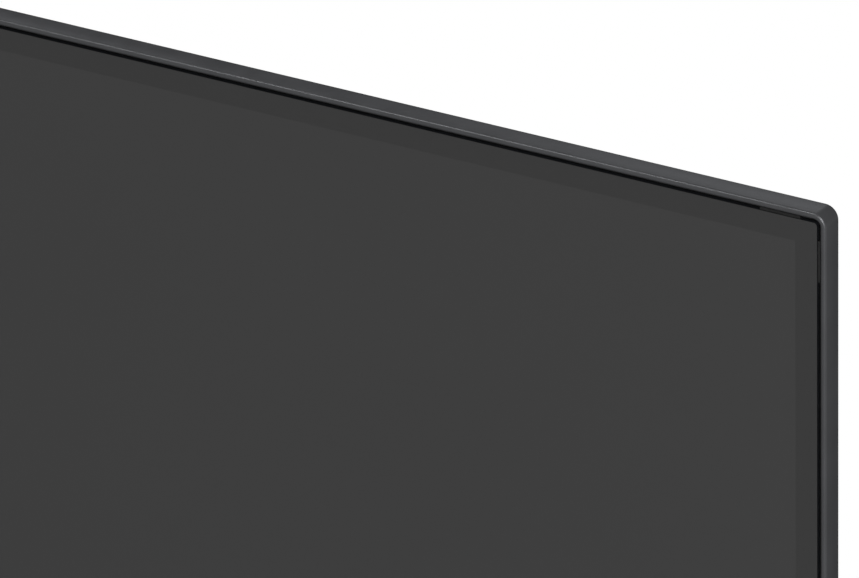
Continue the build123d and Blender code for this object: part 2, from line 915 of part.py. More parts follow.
film_front = cell_back + driver_film_thickness / 2
film_low = (frame_wall + mid_low) / 2
film_back = (chassis_front + cover_front) / 2
film_end = source_board_front - driver_film_thickness / 2
film_places = [
    (film_front, cell_bottom + driver_film_grip),
    (film_front, film_low),
    (film_back, film_low),
    (film_back, cell_bottom / 2),
    (film_end, spreader_low - driver_film_grip),
    (film_end, source_board_low + driver_film_grip),
]
film_pitch = 2 * source_board_x / (driver_film_count / 2)
film_x_places = [film_pitch * (index - (driver_film_count - 1) / 2) for index in range(driver_film_count)]
bent_strip("driver_films", film_x_places, driver_film_width, driver_film_thickness, film_places, film_bend)

# Flat ribbons from the timing board down to the driver boards
ribbon_rest = chassis_back + ribbon_thickness / 2
ribbon_end = source_board_front + source_board_thickness + ribbon_thickness / 2
ribbon_start = board_back + ribbon_thickness / 2
source_board_top = source_board_low + source_board_height
ribbon_places = [
    (ribbon_start, timing_board_low + ribbon_grip),
    (ribbon_start, timing_board_low - ribbon_grip),
    (ribbon_rest, timing_board_low - 2 * ribbon_grip),
    (ribbon_rest, source_board_top + ribbon_grip),
    (ribbon_end, source_board_top + 2 * ribbon_thickness),
    (ribbon_end, source_board_low + ribbon_grip / 2),
]
bent_strip(
    "panel_ribbons", side_by_side(ribbon_x), ribbon_width, ribbon_thickness, ribbon_places, ribbon_bend
)

# Sockets along the right edge of the main board, their mouths to the side
plate_outer = terminal_x - cover_wall
plate_inner = plate_outer - plate_thickness
mouth_x = plate_outer + socket_proud


def socket_height(share):
    """A socket's middle, from its share of the terminal pocket's height."""
    return at_height(terminal_low + share * terminal_span)


def on_board(depth):
    """The place on Y of a socket's middle, when its side lies on the main board's back."""
    return at_depth(board_back + depth / 2)


hdmi_places = [(on_board(hdmi_depth), socket_height(share)) for share in hdmi_shares]
usb_places = [(on_board(usb_depth), socket_height(share)) for share in usb_shares]
lan_place = (on_board(lan_depth), socket_height(lan_share))
optical_place = (on_board(optical_size), socket_height(optical_share))
jack_place = (on_board(jack_size), socket_height(jack_share))
tuner_place = (on_board(tuner_depth), socket_height(tuner_share))

with BuildPart() as socket_shells:
    for places, depth, height, length, shell in (
        (hdmi_places, hdmi_depth, hdmi_height, hdmi_length, hdmi_shell),
        (usb_places, usb_depth, usb_height, usb_length, usb_shell),
    ):
        with BuildSketch(Plane.YZ.offset(mouth_x - length)):
            with Locations(*places):
                Rectangle(depth, height)
        extrude(amount=length)
        with BuildSketch(Plane.YZ.offset(mouth_x - length + shell)):
            with Locations(*places):
                Rectangle(depth - 2 * shell, height - 2 * shell)
        extrude(amount=length, mode=Mode.SUBTRACT)
finish(socket_shells, "socket_shells")

with BuildPart() as socket_tongues:
    for places, shift, depth, height, length, shell in (
        (
            hdmi_places, 0, hdmi_tongue, hdmi_height - 2 * (hdmi_shell + hdmi_tongue_inset), hdmi_length,
            hdmi_shell,
        ),
        (
            usb_places, (usb_depth - usb_tongue) / 2 - usb_shell - usb_tongue_inset, usb_tongue,
            usb_height - 2 * (usb_shell + usb_tongue_inset), usb_length, usb_shell,
        ),
    ):
        with BuildSketch(Plane.YZ.offset(mouth_x - length + shell)):
            with Locations(*[(y + shift, z) for y, z in places]):
                Rectangle(depth, height)
        extrude(amount=length - shell - usb_tongue_inset)
finish(socket_tongues, "socket_tongues")

# Network socket, with a step for the plug's latch
with BuildPart() as lan_socket:
    with BuildSketch(Plane.YZ.offset(mouth_x - lan_length)):
        with Locations(lan_place):
            Rectangle(lan_depth, lan_height)
    extrude(amount=lan_length)
    with BuildSketch(Plane.YZ.offset(mouth_x - lan_mouth_length)):
        with Locations((lan_place[0] - lan_mouth_drop, lan_place[1])):
            Rectangle(lan_mouth_depth, lan_mouth_height)
        with Locations((lan_place[0] - lan_mouth_drop + lan_mouth_depth / 2, lan_place[1])):
            Rectangle(2 * lan_mouth_drop, lan_mouth_height / 2)
    extrude(amount=lan_mouth_length + overrun, mode=Mode.SUBTRACT)
finish(lan_socket, "lan_socket")

# Optical socket, with a sprung flap that hangs inside its mouth on a pin
pin_x = mouth_x - shutter_inset
pin_z = optical_place[1] + optical_mouth / 2 - shutter_drop
pin_half = optical_mouth / 2 + shutter_pin_grip
with BuildPart() as optical_socket:
    with BuildSketch(Plane.YZ.offset(mouth_x - optical_length)):
        with Locations(optical_place):
            Rectangle(optical_size, optical_size)
    extrude(amount=optical_length)
    with BuildSketch(Plane.YZ.offset(mouth_x - optical_cavity)):
        with Locations(optical_place):
            Rectangle(optical_mouth, optical_mouth)
    extrude(amount=optical_cavity + overrun, mode=Mode.SUBTRACT)
    with BuildSketch(Plane.XZ.offset(-optical_place[0])):
        with Locations((pin_x, pin_z)):
            Circle(shutter_pin_radius + shutter_pin_gap)
    extrude(amount=pin_half + shutter_pin_gap, both=True, mode=Mode.SUBTRACT)
finish(optical_socket, "optical_socket")

flap_bottom = optical_place[1] - optical_mouth / 2 + shutter_gap
with BuildPart() as optical_shutter:
    with BuildSketch(Plane.XZ.offset(-optical_place[0])):
        with Locations((pin_x, pin_z)):
            Circle(shutter_pin_radius)
    extrude(amount=pin_half, both=True)
    with BuildSketch(Plane.XZ.offset(-optical_place[0])):
        with Locations((pin_x, (pin_z + flap_bottom) / 2)):
            Rectangle(shutter_thickness, pin_z - flap_bottom)
    extrude(amount=optical_mouth / 2 - shutter_gap, both=True)
finish(optical_shutter, "optical_shutter")

# Headphone socket, a block with a round collar
with BuildPart() as headphone_socket:
    with BuildSketch(Plane.YZ.offset(plate_inner - fit_gap - jack_length)):
        with Locations(jack_place):
            Rectangle(jack_size, jack_size)
    extrude(amount=jack_length)
    with BuildSketch(Plane.YZ.offset(plate_inner - fit_gap)):
        with Locations(jack_place):
            Circle(jack_collar)
    extrude(amount=mouth_x - plate_inner + fit_gap + overrun)
    with BuildSketch(Plane.YZ.offset(plate_inner - fit_gap - jack_length + jack_wall)):
        with Locations(jack_place):
            Circle(jack_bore)
    extrude(amount=2 * jack_length, mode=Mode.SUBTRACT)
finish(headphone_socket, "headphone_socket")

# Tuner can, with the aerial socket that reaches out through the plate
with BuildPart() as tuner:
    with BuildSketch(Plane.YZ.offset(plate_inner - fit_gap - tuner_length)):
        with Locations(tuner_place):
            Rectangle(tuner_depth, tuner_height)
    extrude(amount=tuner_length)
    with BuildSketch(Plane.YZ.offset(plate_inner - fit_gap)):
        with Locations(tuner_place):
            Circle(antenna_radius)
    extrude(amount=plate_thickness + fit_gap + antenna_length)
    with BuildSketch(Plane.YZ.offset(plate_outer + antenna_length - antenna_bore_depth)):
        with Locations(tuner_place):
            Circle(antenna_bore)
            Circle(antenna_contact_radius, mode=Mode.SUBTRACT)
    extrude(amount=antenna_bore_depth + overrun, mode=Mode.SUBTRACT)
finish(tuner, "tuner")

# Plate round the sockets, behind the window in the cover
with BuildPart() as jack_plate:
    with BuildSketch(Plane.YZ.offset(plate_inner)):
        with Locations((at_depth(window_depth), terminal_middle)):
            Rectangle(plate_window_depth + plate_margin / 2, terminal_span - plate_margin)
        for places, depth, height in (
            (hdmi_places, hdmi_depth, hdmi_height),
            (usb_places, usb_depth, usb_height),
            ([lan_place], lan_depth, lan_height),
            ([optical_place], optical_size, optical_size),
        ):
            with Locations(*places):
                Rectangle(depth + 2 * cutout_gap, height + 2 * cutout_gap, mode=Mode.SUBTRACT)
        with Locations(jack_place):
            Circle(jack_collar + cutout_gap, mode=Mode.SUBTRACT)
        with Locations(tuner_place):
            Circle(antenna_radius + cutout_gap, mode=Mode.SUBTRACT)
    extrude(amount=plate_thickness)
finish(jack_plate, "jack_plate")

# Parts that stand on the boards. Places are shares of the board's width and height, from its lower left
main_chip_shares = ((0.45, 0.32), (0.22, 0.45), (0.22, 0.32), (0.30, 0.72), (0.62, 0.56))
timing_chip_shares = ((0.36, 0.5), (0.64, 0.5))
processor_shares = (0.45, 0.55)
transformer_shares = ((0.62, 0.70), (0.62, 0.34))
capacitor_shares = ((0.32, 0.80), (0.32, 0.66), (0.86, 0.22))
power_sink_shares = ((0.44, 0.5), (0.80, 0.62))
connector_shares = ((0.10, 0.88), (0.10, 0.12), (0.80, 0.08))


def board_spot(centre_x, width, low, height, share):
    """A place on a board from its two shares."""
    return (centre_x + (share[0] - 1 / 2) * width, at_height(low + share[1] * height))


def main_spot(share):
    """A place on the main board."""
    return board_spot(main_board_x, main_board_width, main_board_low, main_board_height, share)


def power_spot(share):
    """A place on the power board."""
    return board_spot(power_board_x, power_board_width, power_board_low, power_board_height, share)


def timing_spot(share):
    """A place on the timing board."""
    return board_spot(0, timing_board_width, timing_board_low, timing_board_height, share)


processor_place = main_spot(processor_shares)
with BuildPart() as board_chips:
    with BuildSketch(upright(board_back)):
        with Locations(processor_place):
            Rectangle(sink_size - 2 * chip_height, sink_size - 2 * chip_height)
    extrude(amount=-chip_height)
    with BuildSketch(upright(board_back)):
        with Locations(*[main_spot(share) for share in main_chip_shares]):
            Rectangle(memory_size, memory_size)
        with Locations(*[timing_spot(share) for share in timing_chip_shares]):
            Rectangle(chip_size, chip_size)
    extrude(amount=-memory_height)
finish(board_chips, "board_chips")

# Heat sinks: a finned block on the processor and two upright plates on the power board
with BuildPart() as heat_sinks:
    with BuildSketch(upright(board_back + chip_height)):
        with Locations(processor_place):
            Rectangle(sink_size, sink_size)
    extrude(amount=-sink_base)
    with BuildSketch(upright(board_back + chip_height)):
        with Locations(processor_place):
            with GridLocations((sink_size - sink_fin) / (sink_fins - 1), sink_size, sink_fins, 1):
                Rectangle(sink_fin, sink_size)
    extrude(amount=-sink_height)
    with BuildSketch(upright(board_back)):
        with Locations(*[power_spot(share) for share in power_sink_shares]):
            Rectangle(power_sink_thickness, power_sink_length)
    extrude(amount=-power_sink_depth)
finish(heat_sinks, "heat_sinks")

# Transformers, each a wound bobbin between the two halves of its core
with BuildPart() as transformers:
    with BuildSketch(upright(board_back)):
        with Locations(*[power_spot(share) for share in transformer_shares]):
            RectangleRounded(transformer_width, transformer_height, transformer_core / 4)
    extrude(amount=-transformer_depth)
    chamfer(transformers.faces().group_by(Axis.Y)[-1].edges(), length=transformer_core / 8)
    with BuildSketch(upright(board_back)):
        with Locations(*[power_spot(share) for share in transformer_shares]):
            Rectangle(transformer_core, transformer_height + transformer_core / 2)
    extrude(amount=-(transformer_depth + transformer_core / 4))
finish(transformers, "transformers")

# Capacitors that stand on the power board
with BuildPart() as capacitors:
    with BuildSketch(upright(board_back)):
        with Locations(*[power_spot(share) for share in capacitor_shares]):
            Circle(capacitor_radius)
    extrude(amount=-capacitor_length)
    fillet(capacitors.faces().filter_by(Axis.Y).group_by(Axis.Y)[-1].edges(), radius=capacitor_radius / 8)
finish(capacitors, "capacitors")

# Plastic connectors on the boards, each with a slot for its plug
connector_places = [main_spot(share) for share in connector_shares] + [
    power_spot((1 - share[0], share[1])) for share in connector_shares[:2]
]
with BuildPart() as board_connectors:
    with BuildSketch(upright(board_back)):
        with Locations(*connector_places):
            Rectangle(connector_width, connector_height)
    extrude(amount=-connector_depth)
    with BuildSketch(upright(board_back + connector_depth / 2)):
        with Locations(*connector_places):
            Rectangle(connector_width - 2 * connector_wall, connector_height - 2 * connector_wall)
    extrude(amount=-connector_depth, mode=Mode.SUBTRACT)
finish(board_connectors, "board_connectors")

# Mains inlet for a two-pole lead, its mouth to the left
inlet_face = -inlet_x - socket_proud
inlet_place = (inlet_centre_y, inlet_middle)
with BuildPart() as mains_inlet:
    with BuildSketch(Plane.YZ.offset(inlet_face)):
        with Locations(inlet_place):
            Rectangle(inlet_depth, inlet_height)
    extrude(amount=inlet_length)
    with BuildSketch(Plane.YZ.offset(inlet_face - overrun)):
        with Locations(inlet_place):
            SlotOverall(inlet_mouth, inlet_mouth_depth, rotation=90)
    extrude(amount=inlet_cavity + overrun, mode=Mode.SUBTRACT)
finish(mains_inlet, "mains_inlet")

with BuildPart() as inlet_pins:
    with BuildSketch(Plane.YZ.offset(inlet_face + inlet_cavity - inlet_pin_length)):
        with Locations(inlet_place):
            with GridLocations(inlet_pin_spacing, inlet_pin_spacing, 1, 2):
                Circle(inlet_pin_radius)
    extrude(amount=inlet_pin_length)
    fillet(inlet_pins.faces().group_by(Axis.X)[0].edges(), radius=inlet_pin_radius / 2)
finish(inlet_pins, "inlet_pins")

# Speaker boxes on the floor of the cover, each with a mouth that faces down
speaker_floor = cover_floor + speaker_wall
speaker_places = [(x, speaker_y) for x in side_by_side(speaker_x)]
speaker_box_depth = speaker_box_back - speaker_box_front
with BuildPart() as speaker_boxes:
    with BuildSketch(Plane.XY.offset(at_height(cover_floor))):
        with Locations(*speaker_places):
            RectangleRounded(speaker_box_width, speaker_box_depth, 2 * speaker_wall)
    extrude(amount=speaker_box_height)
    with BuildSketch(Plane.XY.offset(at_height(speaker_floor))):
        with Locations(*speaker_places):
            Rectangle(speaker_box_width - 2 * speaker_wall, speaker_box_depth - 2 * speaker_wall)
    extrude(amount=speaker_box_height - 2 * speaker_wall, mode=Mode.SUBTRACT)
    with BuildSketch(Plane.XY.offset(at_height(cover_floor))):
        with Locations(*speaker_places):
            Circle(speaker_mouth_radius)
    extrude(amount=speaker_wall, mode=Mode.SUBTRACT)
finish(speaker_boxes, "speaker_boxes")


def turned(label, places, *outlines):
    """Bodies turned about upright axes, from outlines of radius and height above the speaker box's floor."""
    with BuildPart() as ring:
        for x, y in places:
            for outline in outlines:
                with BuildSketch(Plane.XZ.offset(-y)):
                    with BuildLine():
                        Polyline(*[(x + radius, at_height(speaker_floor) + rise) for radius, rise in outline],
                                 close=True)
                    make_face()
                revolve(axis=Axis((x, y, 0), (0, 0, 1)))
    finish(ring, label)


turned("speaker_baskets", speaker_places, (
    (surround_outer, 0),
    (basket_radius, 0),
    (basket_radius, basket_flange),
    (surround_outer + basket_wall, basket_flange),
    (magnet_radius, basket_height),
    (basket_throat, basket_height),
    (basket_throat, basket_height - basket_wall),
    (magnet_radius - basket_wall, basket_height - basket_wall),
    (surround_outer, basket_flange),
))
magnet_top = basket_height + magnet_height
turned("speaker_magnets", speaker_places, (
    (0, basket_height - pole_reach),
    (pole_radius, basket_height - pole_reach),
    (pole_radius, magnet_top),
    (basket_throat, magnet_top),
    (basket_throat, basket_height),
    (magnet_radius, basket_height),
    (magnet_radius, magnet_top + yoke_thickness),
    (0, magnet_top + yoke_thickness),
))
surround_middle = (surround_inner + surround_outer) / 2
turned("speaker_surrounds", speaker_places, (
    (surround_inner, 0),
    (surround_middle - surround_rise, surround_rise),
    (surround_middle + surround_rise, surround_rise),
    (surround_outer, 0),
    (surround_outer, surround_thickness),
    (surround_middle + surround_rise, surround_rise + surround_thickness),
    (surround_middle - surround_rise, surround_rise + surround_thickness),
    (surround_inner, surround_thickness),
))
cone_outline = (
    (0, cone_height),
    (cone_inner, cone_height),
    (surround_inner, 0),
    (surround_inner, cone_wall),
    (cone_inner, cone_height + cone_wall),
    (cone_inner, cone_height + former_length),
    (cone_inner - former_wall, cone_height + former_length),
    (cone_inner - former_wall, cone_height + cone_wall),
    (0, cone_height + cone_wall),
)
turned("speaker_cone_left", speaker_places[:1], cone_outline)
turned("speaker_cone_right", speaker_places[1:], cone_outline)

# Feet, two blades whose front and back legs spread from a neck under the bulge
neck_front_y = at_depth(foot_neck_front)
neck_back_y = at_depth(foot_neck_back)
neck_middle_y = (neck_front_y + neck_back_y) / 2
neck_low = floor_clearance - foot_drop
toe_top = foot_pad_height + foot_toe_height
foot_places = side_by_side(foot_x)


def foot(label, x):
    """One foot, from its side view, bored from below for its screws."""
    with BuildPart() as leg:
        with BuildSketch(Plane.YZ.offset(x - foot_width / 2)):
            with BuildLine():
                Polyline(
                    (neck_front_y, bulge_bottom),
                    (neck_front_y, neck_low),
                    (-foot_reach, toe_top),
                    (-foot_reach, foot_pad_height),
                    (-foot_reach + foot_toe, foot_pad_height),
                    (neck_middle_y, foot_crotch_height),
                    (foot_reach - foot_toe, foot_pad_height),
                    (foot_reach, foot_pad_height),
                    (foot_reach, toe_top),
                    (neck_back_y, neck_low),
                    (neck_back_y, bulge_bottom),
                    close=True,
                )
            make_face()
        extrude(amount=foot_width)
        bends = leg.edges().filter_by(Axis.X).filter_by(
            lambda edge: foot_crotch_height <= edge.center().Z + touch_gap <= neck_low + 2 * touch_gap
        )
        fillet(bends, radius=foot_bend)
        toes = leg.edges().filter_by(Axis.X).filter_by(
            lambda edge: abs(edge.center().Y) > foot_reach - touch_gap and edge.center().Z > foot_pad_height
        )
        fillet(toes, radius=foot_toe_height - foot_round)
        rims = leg.faces().filter_by(Axis.X).edges().filter_by(
            lambda edge: edge.center().Z < bulge_bottom - touch_gap
        )
        fillet(rims, radius=foot_round)
        with BuildSketch(Plane.XY.offset(bulge_bottom - foot_screw_seat)):
            with Locations(*[(x, foot_screw_y + y) for y in side_by_side(foot_screw_spacing / 2)]):
                Circle(foot_screw_head + foot_hole_gap)
        extrude(amount=-foot_screw_well, mode=Mode.SUBTRACT)
        with BuildSketch(Plane.XY.offset(bulge_bottom + overrun)):
            with Locations(*[(x, foot_screw_y + y) for y in side_by_side(foot_screw_spacing / 2)]):
                Circle(foot_screw_radius + foot_hole_gap)
        extrude(amount=-(foot_screw_seat + 2 * overrun), mode=Mode.SUBTRACT)
    finish(leg, label)


foot("foot_left", -foot_x)
foot("foot_right", foot_x)

toe_pad_y = foot_reach - foot_pad_inset - foot_pad_length / 2
with BuildPart() as foot_pads:
    with BuildSketch(Plane.XY):
        with Locations(*[(x, y) for x in foot_places for y in side_by_side(toe_pad_y)]):
            RectangleRounded(foot_pad_width, foot_pad_length, foot_pad_round)
    extrude(amount=foot_pad_height)
finish(foot_pads, "foot_pads")

# Foot screws from below, and the steel brackets in the cover that take them
bracket_foot_low = at_height(cover_floor)
bracket_nut_low = bracket_foot_low + bracket_thickness
with BuildPart() as foot_screws:
    with BuildSketch(Plane.XY.offset(bulge_bottom - foot_screw_seat)):
        with Locations(*foot_screw_places):
            Circle(foot_screw_head)
    extrude(amount=-foot_screw_head_height)
    with BuildSketch(Plane.XY.offset(bulge_bottom - foot_screw_seat)):
        with Locations(*foot_screw_places):
            Circle(foot_screw_radius)
    extrude(amount=bracket_nut_low + bracket_nut_height - bulge_bottom + foot_screw_seat)
    with BuildSketch(Plane.XY.offset(bulge_bottom - foot_screw_seat - foot_screw_head_height)):
        with Locations(*foot_screw_places):
            RegularPolygon(foot_screw_radius / 2 + foot_hole_gap, post_sides)
    extrude(amount=foot_screw_head_height / 2, mode=Mode.SUBTRACT)
finish(foot_screws, "foot_screws")

bracket_back_y = at_depth(foot_neck_back)
with BuildPart() as stand_brackets:
    for x in foot_places:
        with BuildSketch(Plane.YZ.offset(x - bracket_width / 2)):
            with BuildLine():
                Polyline(
                    (at_depth(chassis_back), bracket_foot_low),
                    (bracket_back_y, bracket_foot_low),
                    (bracket_back_y, bracket_foot_low + bracket_thickness),
                    (at_depth(chassis_back) + bracket_thickness, bracket_foot_low + bracket_thickness),
                    (at_depth(chassis_back) + bracket_thickness, bracket_foot_low + bracket_height),
                    (at_depth(chassis_back), bracket_foot_low + bracket_height),
                    close=True,
                )
            make_face()
        extrude(amount=bracket_width)
    with BuildSketch(Plane.XY.offset(bracket_nut_low)):
        with Locations(*foot_screw_places):
            RegularPolygon(bracket_nut_radius, post_sides)
    extrude(amount=bracket_nut_height)
    with BuildSketch(Plane.XY.offset(bracket_foot_low - overrun)):
        with Locations(*foot_screw_places):
            Circle(foot_screw_radius + thread_gap)
    extrude(amount=bracket_nut_height + bracket_thickness + 2 * overrun, mode=Mode.SUBTRACT)
finish(stand_brackets, "stand_brackets")

# Sensor housing under the chin, closed in front by a dark window
sensor_middle_z = floor_clearance - sensor_height / 2
with BuildPart() as sensor_housing:
    with BuildSketch(upright(sensor_front)):
        with Locations((0, sensor_middle_z)):
            Rectangle(sensor_width, sensor_height)
    extrude(amount=-sensor_depth)
    fillet(sensor_housing.edges().filter_by(Axis.Y).group_by(Axis.Z)[0], radius=sensor_round)
    with BuildSketch(upright(sensor_front - overrun)):
        with Locations((0, sensor_middle_z)):
            RectangleRounded(
                sensor_width - 2 * sensor_wall, sensor_height - 2 * sensor_wall, sensor_round - sensor_wall
            )
    extrude(amount=-(sensor_depth - sensor_wall + overrun), mode=Mode.SUBTRACT)
finish(sensor_housing, "sensor_housing")

sensor_inner_width = sensor_width - 2 * (sensor_wall + touch_gap)
sensor_inner_height = sensor_height - 2 * (sensor_wall + touch_gap)
with BuildPart() as sensor_window:
    with BuildSketch(upright(sensor_front)):
        with Locations((0, sensor_middle_z)):
            RectangleRounded(sensor_inner_width, sensor_inner_height, sensor_round - sensor_wall)
    extrude(amount=-sensor_window_thickness)
finish(sensor_window, "sensor_window")

# Sensor board, with the receiver's eye and the standby lamp on its front
sensor_board_front = sensor_front + sensor_depth - sensor_wall - sensor_board_thickness
with BuildPart() as sensor_board:
    with BuildSketch(upright(sensor_board_front)):
        with Locations((0, sensor_middle_z)):
            Rectangle(sensor_inner_width - 2 * sensor_wall, sensor_inner_height)
    extrude(amount=-sensor_board_thickness)
    with BuildSketch(upright(sensor_board_front)):
        with Locations((-sensor_eye_offset, sensor_middle_z)):
            Circle(sensor_eye_radius)
        with Locations((sensor_eye_offset, sensor_middle_z)):
            Circle(sensor_eye_radius / 2)
    extrude(amount=sensor_eye_height)
finish(sensor_board, "sensor_board")

# Control stick: board, switch body, plunger, cross and knob, all on one axis along Y
control_z = at_height(control_height)
with BuildPart() as control_board:
    with BuildSketch(upright(control_board_front)):
        with Locations(control_centre):
            Rectangle(control_board_size, control_board_size)
        with Locations(*post_places):
            Circle(board_screw_radius + screw_hole_gap, mode=Mode.SUBTRACT)
    extrude(amount=-board_thickness)
finish(control_board, "control_board")

with BuildPart() as control_switch:
    with BuildSketch(upright(switch_front)):
        with Locations(control_centre):
            Rectangle(control_switch_size, control_switch_size)
    extrude(amount=-control_switch_height)
    with BuildSketch(upright(switch_back - control_bore_depth)):
        with Locations(control_centre):
            Circle(plunger_radius + plunger_run_gap)
    extrude(amount=-(control_bore_depth + overrun), mode=Mode.SUBTRACT)
finish(control_switch, "control_switch")

# The plunger presses the switch. Its two ears hold the cross's upright pins
fork_middle = fork_spread + fork_ear / 2
plunger_end = switch_back - control_bore_depth + plunger_travel + touch_gap
fork_base = switch_back + plunger_neck
with BuildPart() as control_plunger:
    with BuildSketch(upright(plunger_end)):
        with Locations(control_centre):
            Circle(plunger_radius)
    extrude(amount=-(fork_base - plunger_end))
    with BuildSketch(upright(fork_base)):
        with Locations(control_centre):
            Rectangle(fork_width, 2 * (fork_spread + fork_ear))
    extrude(amount=-plunger_base)
    with BuildSketch(upright(fork_base)):
        with Locations(*[(control_x, control_z + rise) for rise in side_by_side(fork_middle)]):
            Rectangle(fork_width, fork_ear)
    extrude(amount=-(pivot_depth + fork_reach - fork_base))
    with BuildSketch(Plane.XY.offset(control_z)):
        with Locations((control_x, at_depth(pivot_depth))):
            Circle(cross_pin_radius + cross_pin_gap)
    extrude(amount=fork_spread + fork_ear + overrun, both=True, mode=Mode.SUBTRACT)
finish(control_plunger, "control_plunger")

with BuildPart() as control_cross:
    with Locations((control_x, at_depth(pivot_depth), control_z)):
        Box(cross_core, cross_core, cross_core)
        Cylinder(cross_pin_radius, 2 * (fork_spread + fork_ear))
        Cylinder(cross_pin_radius, 2 * (fork_spread + fork_ear), rotation=(0, 90, 0))
finish(control_cross, "control_cross")

# The knob's own ears hold the cross's level pins, so it tilts both ways
knob_front = pivot_depth + knob_rise
with BuildPart() as control_knob:
    with BuildSketch(upright(knob_front)):
        with Locations(control_centre):
            Circle(knob_radius)
    extrude(amount=-(bulge_depth + knob_proud - knob_front))
    fillet(control_knob.faces().sort_by(Axis.Y)[-1].edges(), radius=knob_round)
    with BuildSketch(upright(pivot_depth - fork_reach)):
        with Locations(*[(control_x + side, control_z) for side in side_by_side(fork_middle)]):
            Rectangle(fork_ear, fork_width)
    extrude(amount=-(knob_front - pivot_depth + fork_reach))
    with BuildSketch(Plane.YZ.offset(control_x)):
        with Locations((at_depth(pivot_depth), control_z)):
            Circle(cross_pin_radius + cross_pin_gap)
    extrude(amount=fork_spread + fork_ear + overrun, both=True, mode=Mode.SUBTRACT)
finish(control_knob, "control_knob")

# Wire harness: the power lead, a lead to each speaker and one to the control stick
wire_rest = chassis_back + ribbon_thickness + touch_gap + wire_radius
wire_plug = board_back + connector_depth / 2
wire_over = board_back + connector_depth + wire_bend
power_plug = connector_places[3]
main_plug, speaker_plug, control_plug = connector_places[:3]
box_top = at_height(cover_floor) + speaker_box_height
left_box_side = -speaker_x + speaker_box_width / 2
speaker_wire_z = box_top - speaker_box_height / 4
right_plug_x = speaker_plug[0] + connector_width / 4
control_wire_z = control_z + control_board_size / 4
below_pocket = at_height(terminal_low) - cover_wall - 2 * wire_radius - fit_gap
wire_routes = [
    [
        (power_plug[0], wire_plug, power_plug[1]),
        (power_plug[0], wire_over, power_plug[1]),
        (power_board_left + power_board_width, wire_over, power_plug[1] + wire_bend),
        (power_board_left + power_board_width + 2 * wire_bend, wire_rest, power_plug[1] + 2 * wire_bend),
        (main_board_right - main_board_width - 2 * wire_bend, wire_rest, main_plug[1] - wire_bend),
        (main_board_right - main_board_width, wire_over, main_plug[1]),
        (main_plug[0], wire_over, main_plug[1] + touch_gap),
        (main_plug[0], wire_plug, main_plug[1] + touch_gap),
    ],
    [
        (speaker_plug[0], wire_plug, speaker_plug[1]),
        (speaker_plug[0], wire_over, speaker_plug[1]),
        (main_board_right - main_board_width, wire_over, speaker_plug[1] - wire_bend),
        (main_board_right - main_board_width - 2 * wire_bend, wire_rest, speaker_plug[1] - 2 * wire_bend),
        (left_box_side + 3 * wire_bend, wire_rest, speaker_wire_z + 3 * wire_bend),
        (left_box_side + wire_bend, wire_over, speaker_wire_z),
        (left_box_side, wire_over, speaker_wire_z),
    ],
    [
        (right_plug_x, wire_plug, speaker_plug[1]),
        (right_plug_x, wire_over, speaker_plug[1]),
        (right_plug_x, wire_over + wire_bend, at_height(main_board_low)),
        (-left_box_side + wire_bend, wire_over + wire_bend, box_top + wire_bend),
        (-left_box_side + wire_bend, wire_over + wire_bend, box_top),
    ],
    [
        (control_x - control_post_offset, control_board_front, control_wire_z),
        (control_x - control_post_offset, control_board_front - wire_bend, control_wire_z),
        (speaker_x + speaker_box_width / 2, wire_over, below_pocket),
        (control_plug[0], wire_over, at_height(main_board_low) + wire_radius),
        (control_plug[0], wire_over, control_plug[1]),
        (control_plug[0], wire_plug, control_plug[1]),
    ],
]
with BuildPart() as wire_harness:
    for route in wire_routes:
        with BuildLine() as line:
            FilletPolyline(*[(x, at_depth(depth), z) for x, depth, z in route], radius=wire_radius * 2)
        lead = line.wires()[0]
        with BuildSketch(Plane(origin=lead @ 0, z_dir=lead % 0)):
            Circle(wire_radius)
        sweep(path=lead)
finish(wire_harness, "wire_harness")
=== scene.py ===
"""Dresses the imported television: its finishes, its fine detail, the stage and the camera.

Everything is in metres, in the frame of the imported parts: X to the viewer's right, Y to the back, Z up.
"""

from math import cos, hypot, pi, radians, sin

import bmesh
import bpy
from mathutils import Matrix, Vector


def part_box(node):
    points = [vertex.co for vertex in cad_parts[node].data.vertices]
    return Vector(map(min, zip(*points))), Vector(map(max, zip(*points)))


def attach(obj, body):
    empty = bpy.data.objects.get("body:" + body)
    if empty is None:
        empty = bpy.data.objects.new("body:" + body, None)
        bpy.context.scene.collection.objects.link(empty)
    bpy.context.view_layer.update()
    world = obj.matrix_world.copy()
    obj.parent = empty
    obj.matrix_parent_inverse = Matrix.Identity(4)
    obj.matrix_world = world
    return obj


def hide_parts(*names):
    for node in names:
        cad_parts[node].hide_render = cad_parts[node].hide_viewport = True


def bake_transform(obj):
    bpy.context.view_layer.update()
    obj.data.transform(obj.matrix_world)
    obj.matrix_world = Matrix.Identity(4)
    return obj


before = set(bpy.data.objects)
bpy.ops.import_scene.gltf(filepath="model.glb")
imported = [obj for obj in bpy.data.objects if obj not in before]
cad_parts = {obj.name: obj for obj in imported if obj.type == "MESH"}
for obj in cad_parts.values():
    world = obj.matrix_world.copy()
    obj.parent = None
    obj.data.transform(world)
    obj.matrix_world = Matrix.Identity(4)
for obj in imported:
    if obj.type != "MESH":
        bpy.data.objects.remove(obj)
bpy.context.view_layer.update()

bl_info = {
    "name": "Flat screen television",
    "version": (1, 0, 0),
    "blender": (4, 5, 0),
    "location": "3D View > Sidebar > Television",
    "description": "Builds the finishes, the small detail and the stage of a flat screen television",
    "category": "Object",
}

MM = 0.001


def length(name, description, default):
    """A property that holds a length, given in millimetres."""
    return bpy.props.FloatProperty(
        name=name, description=description, default=default * MM, min=0, unit="LENGTH", precision=5
    )


def factor(name, description, default):
    """A property that holds a share from nought to one."""
    return bpy.props.FloatProperty(
        name=name, description=description, default=default, min=0, max=1, subtype="FACTOR"
    )


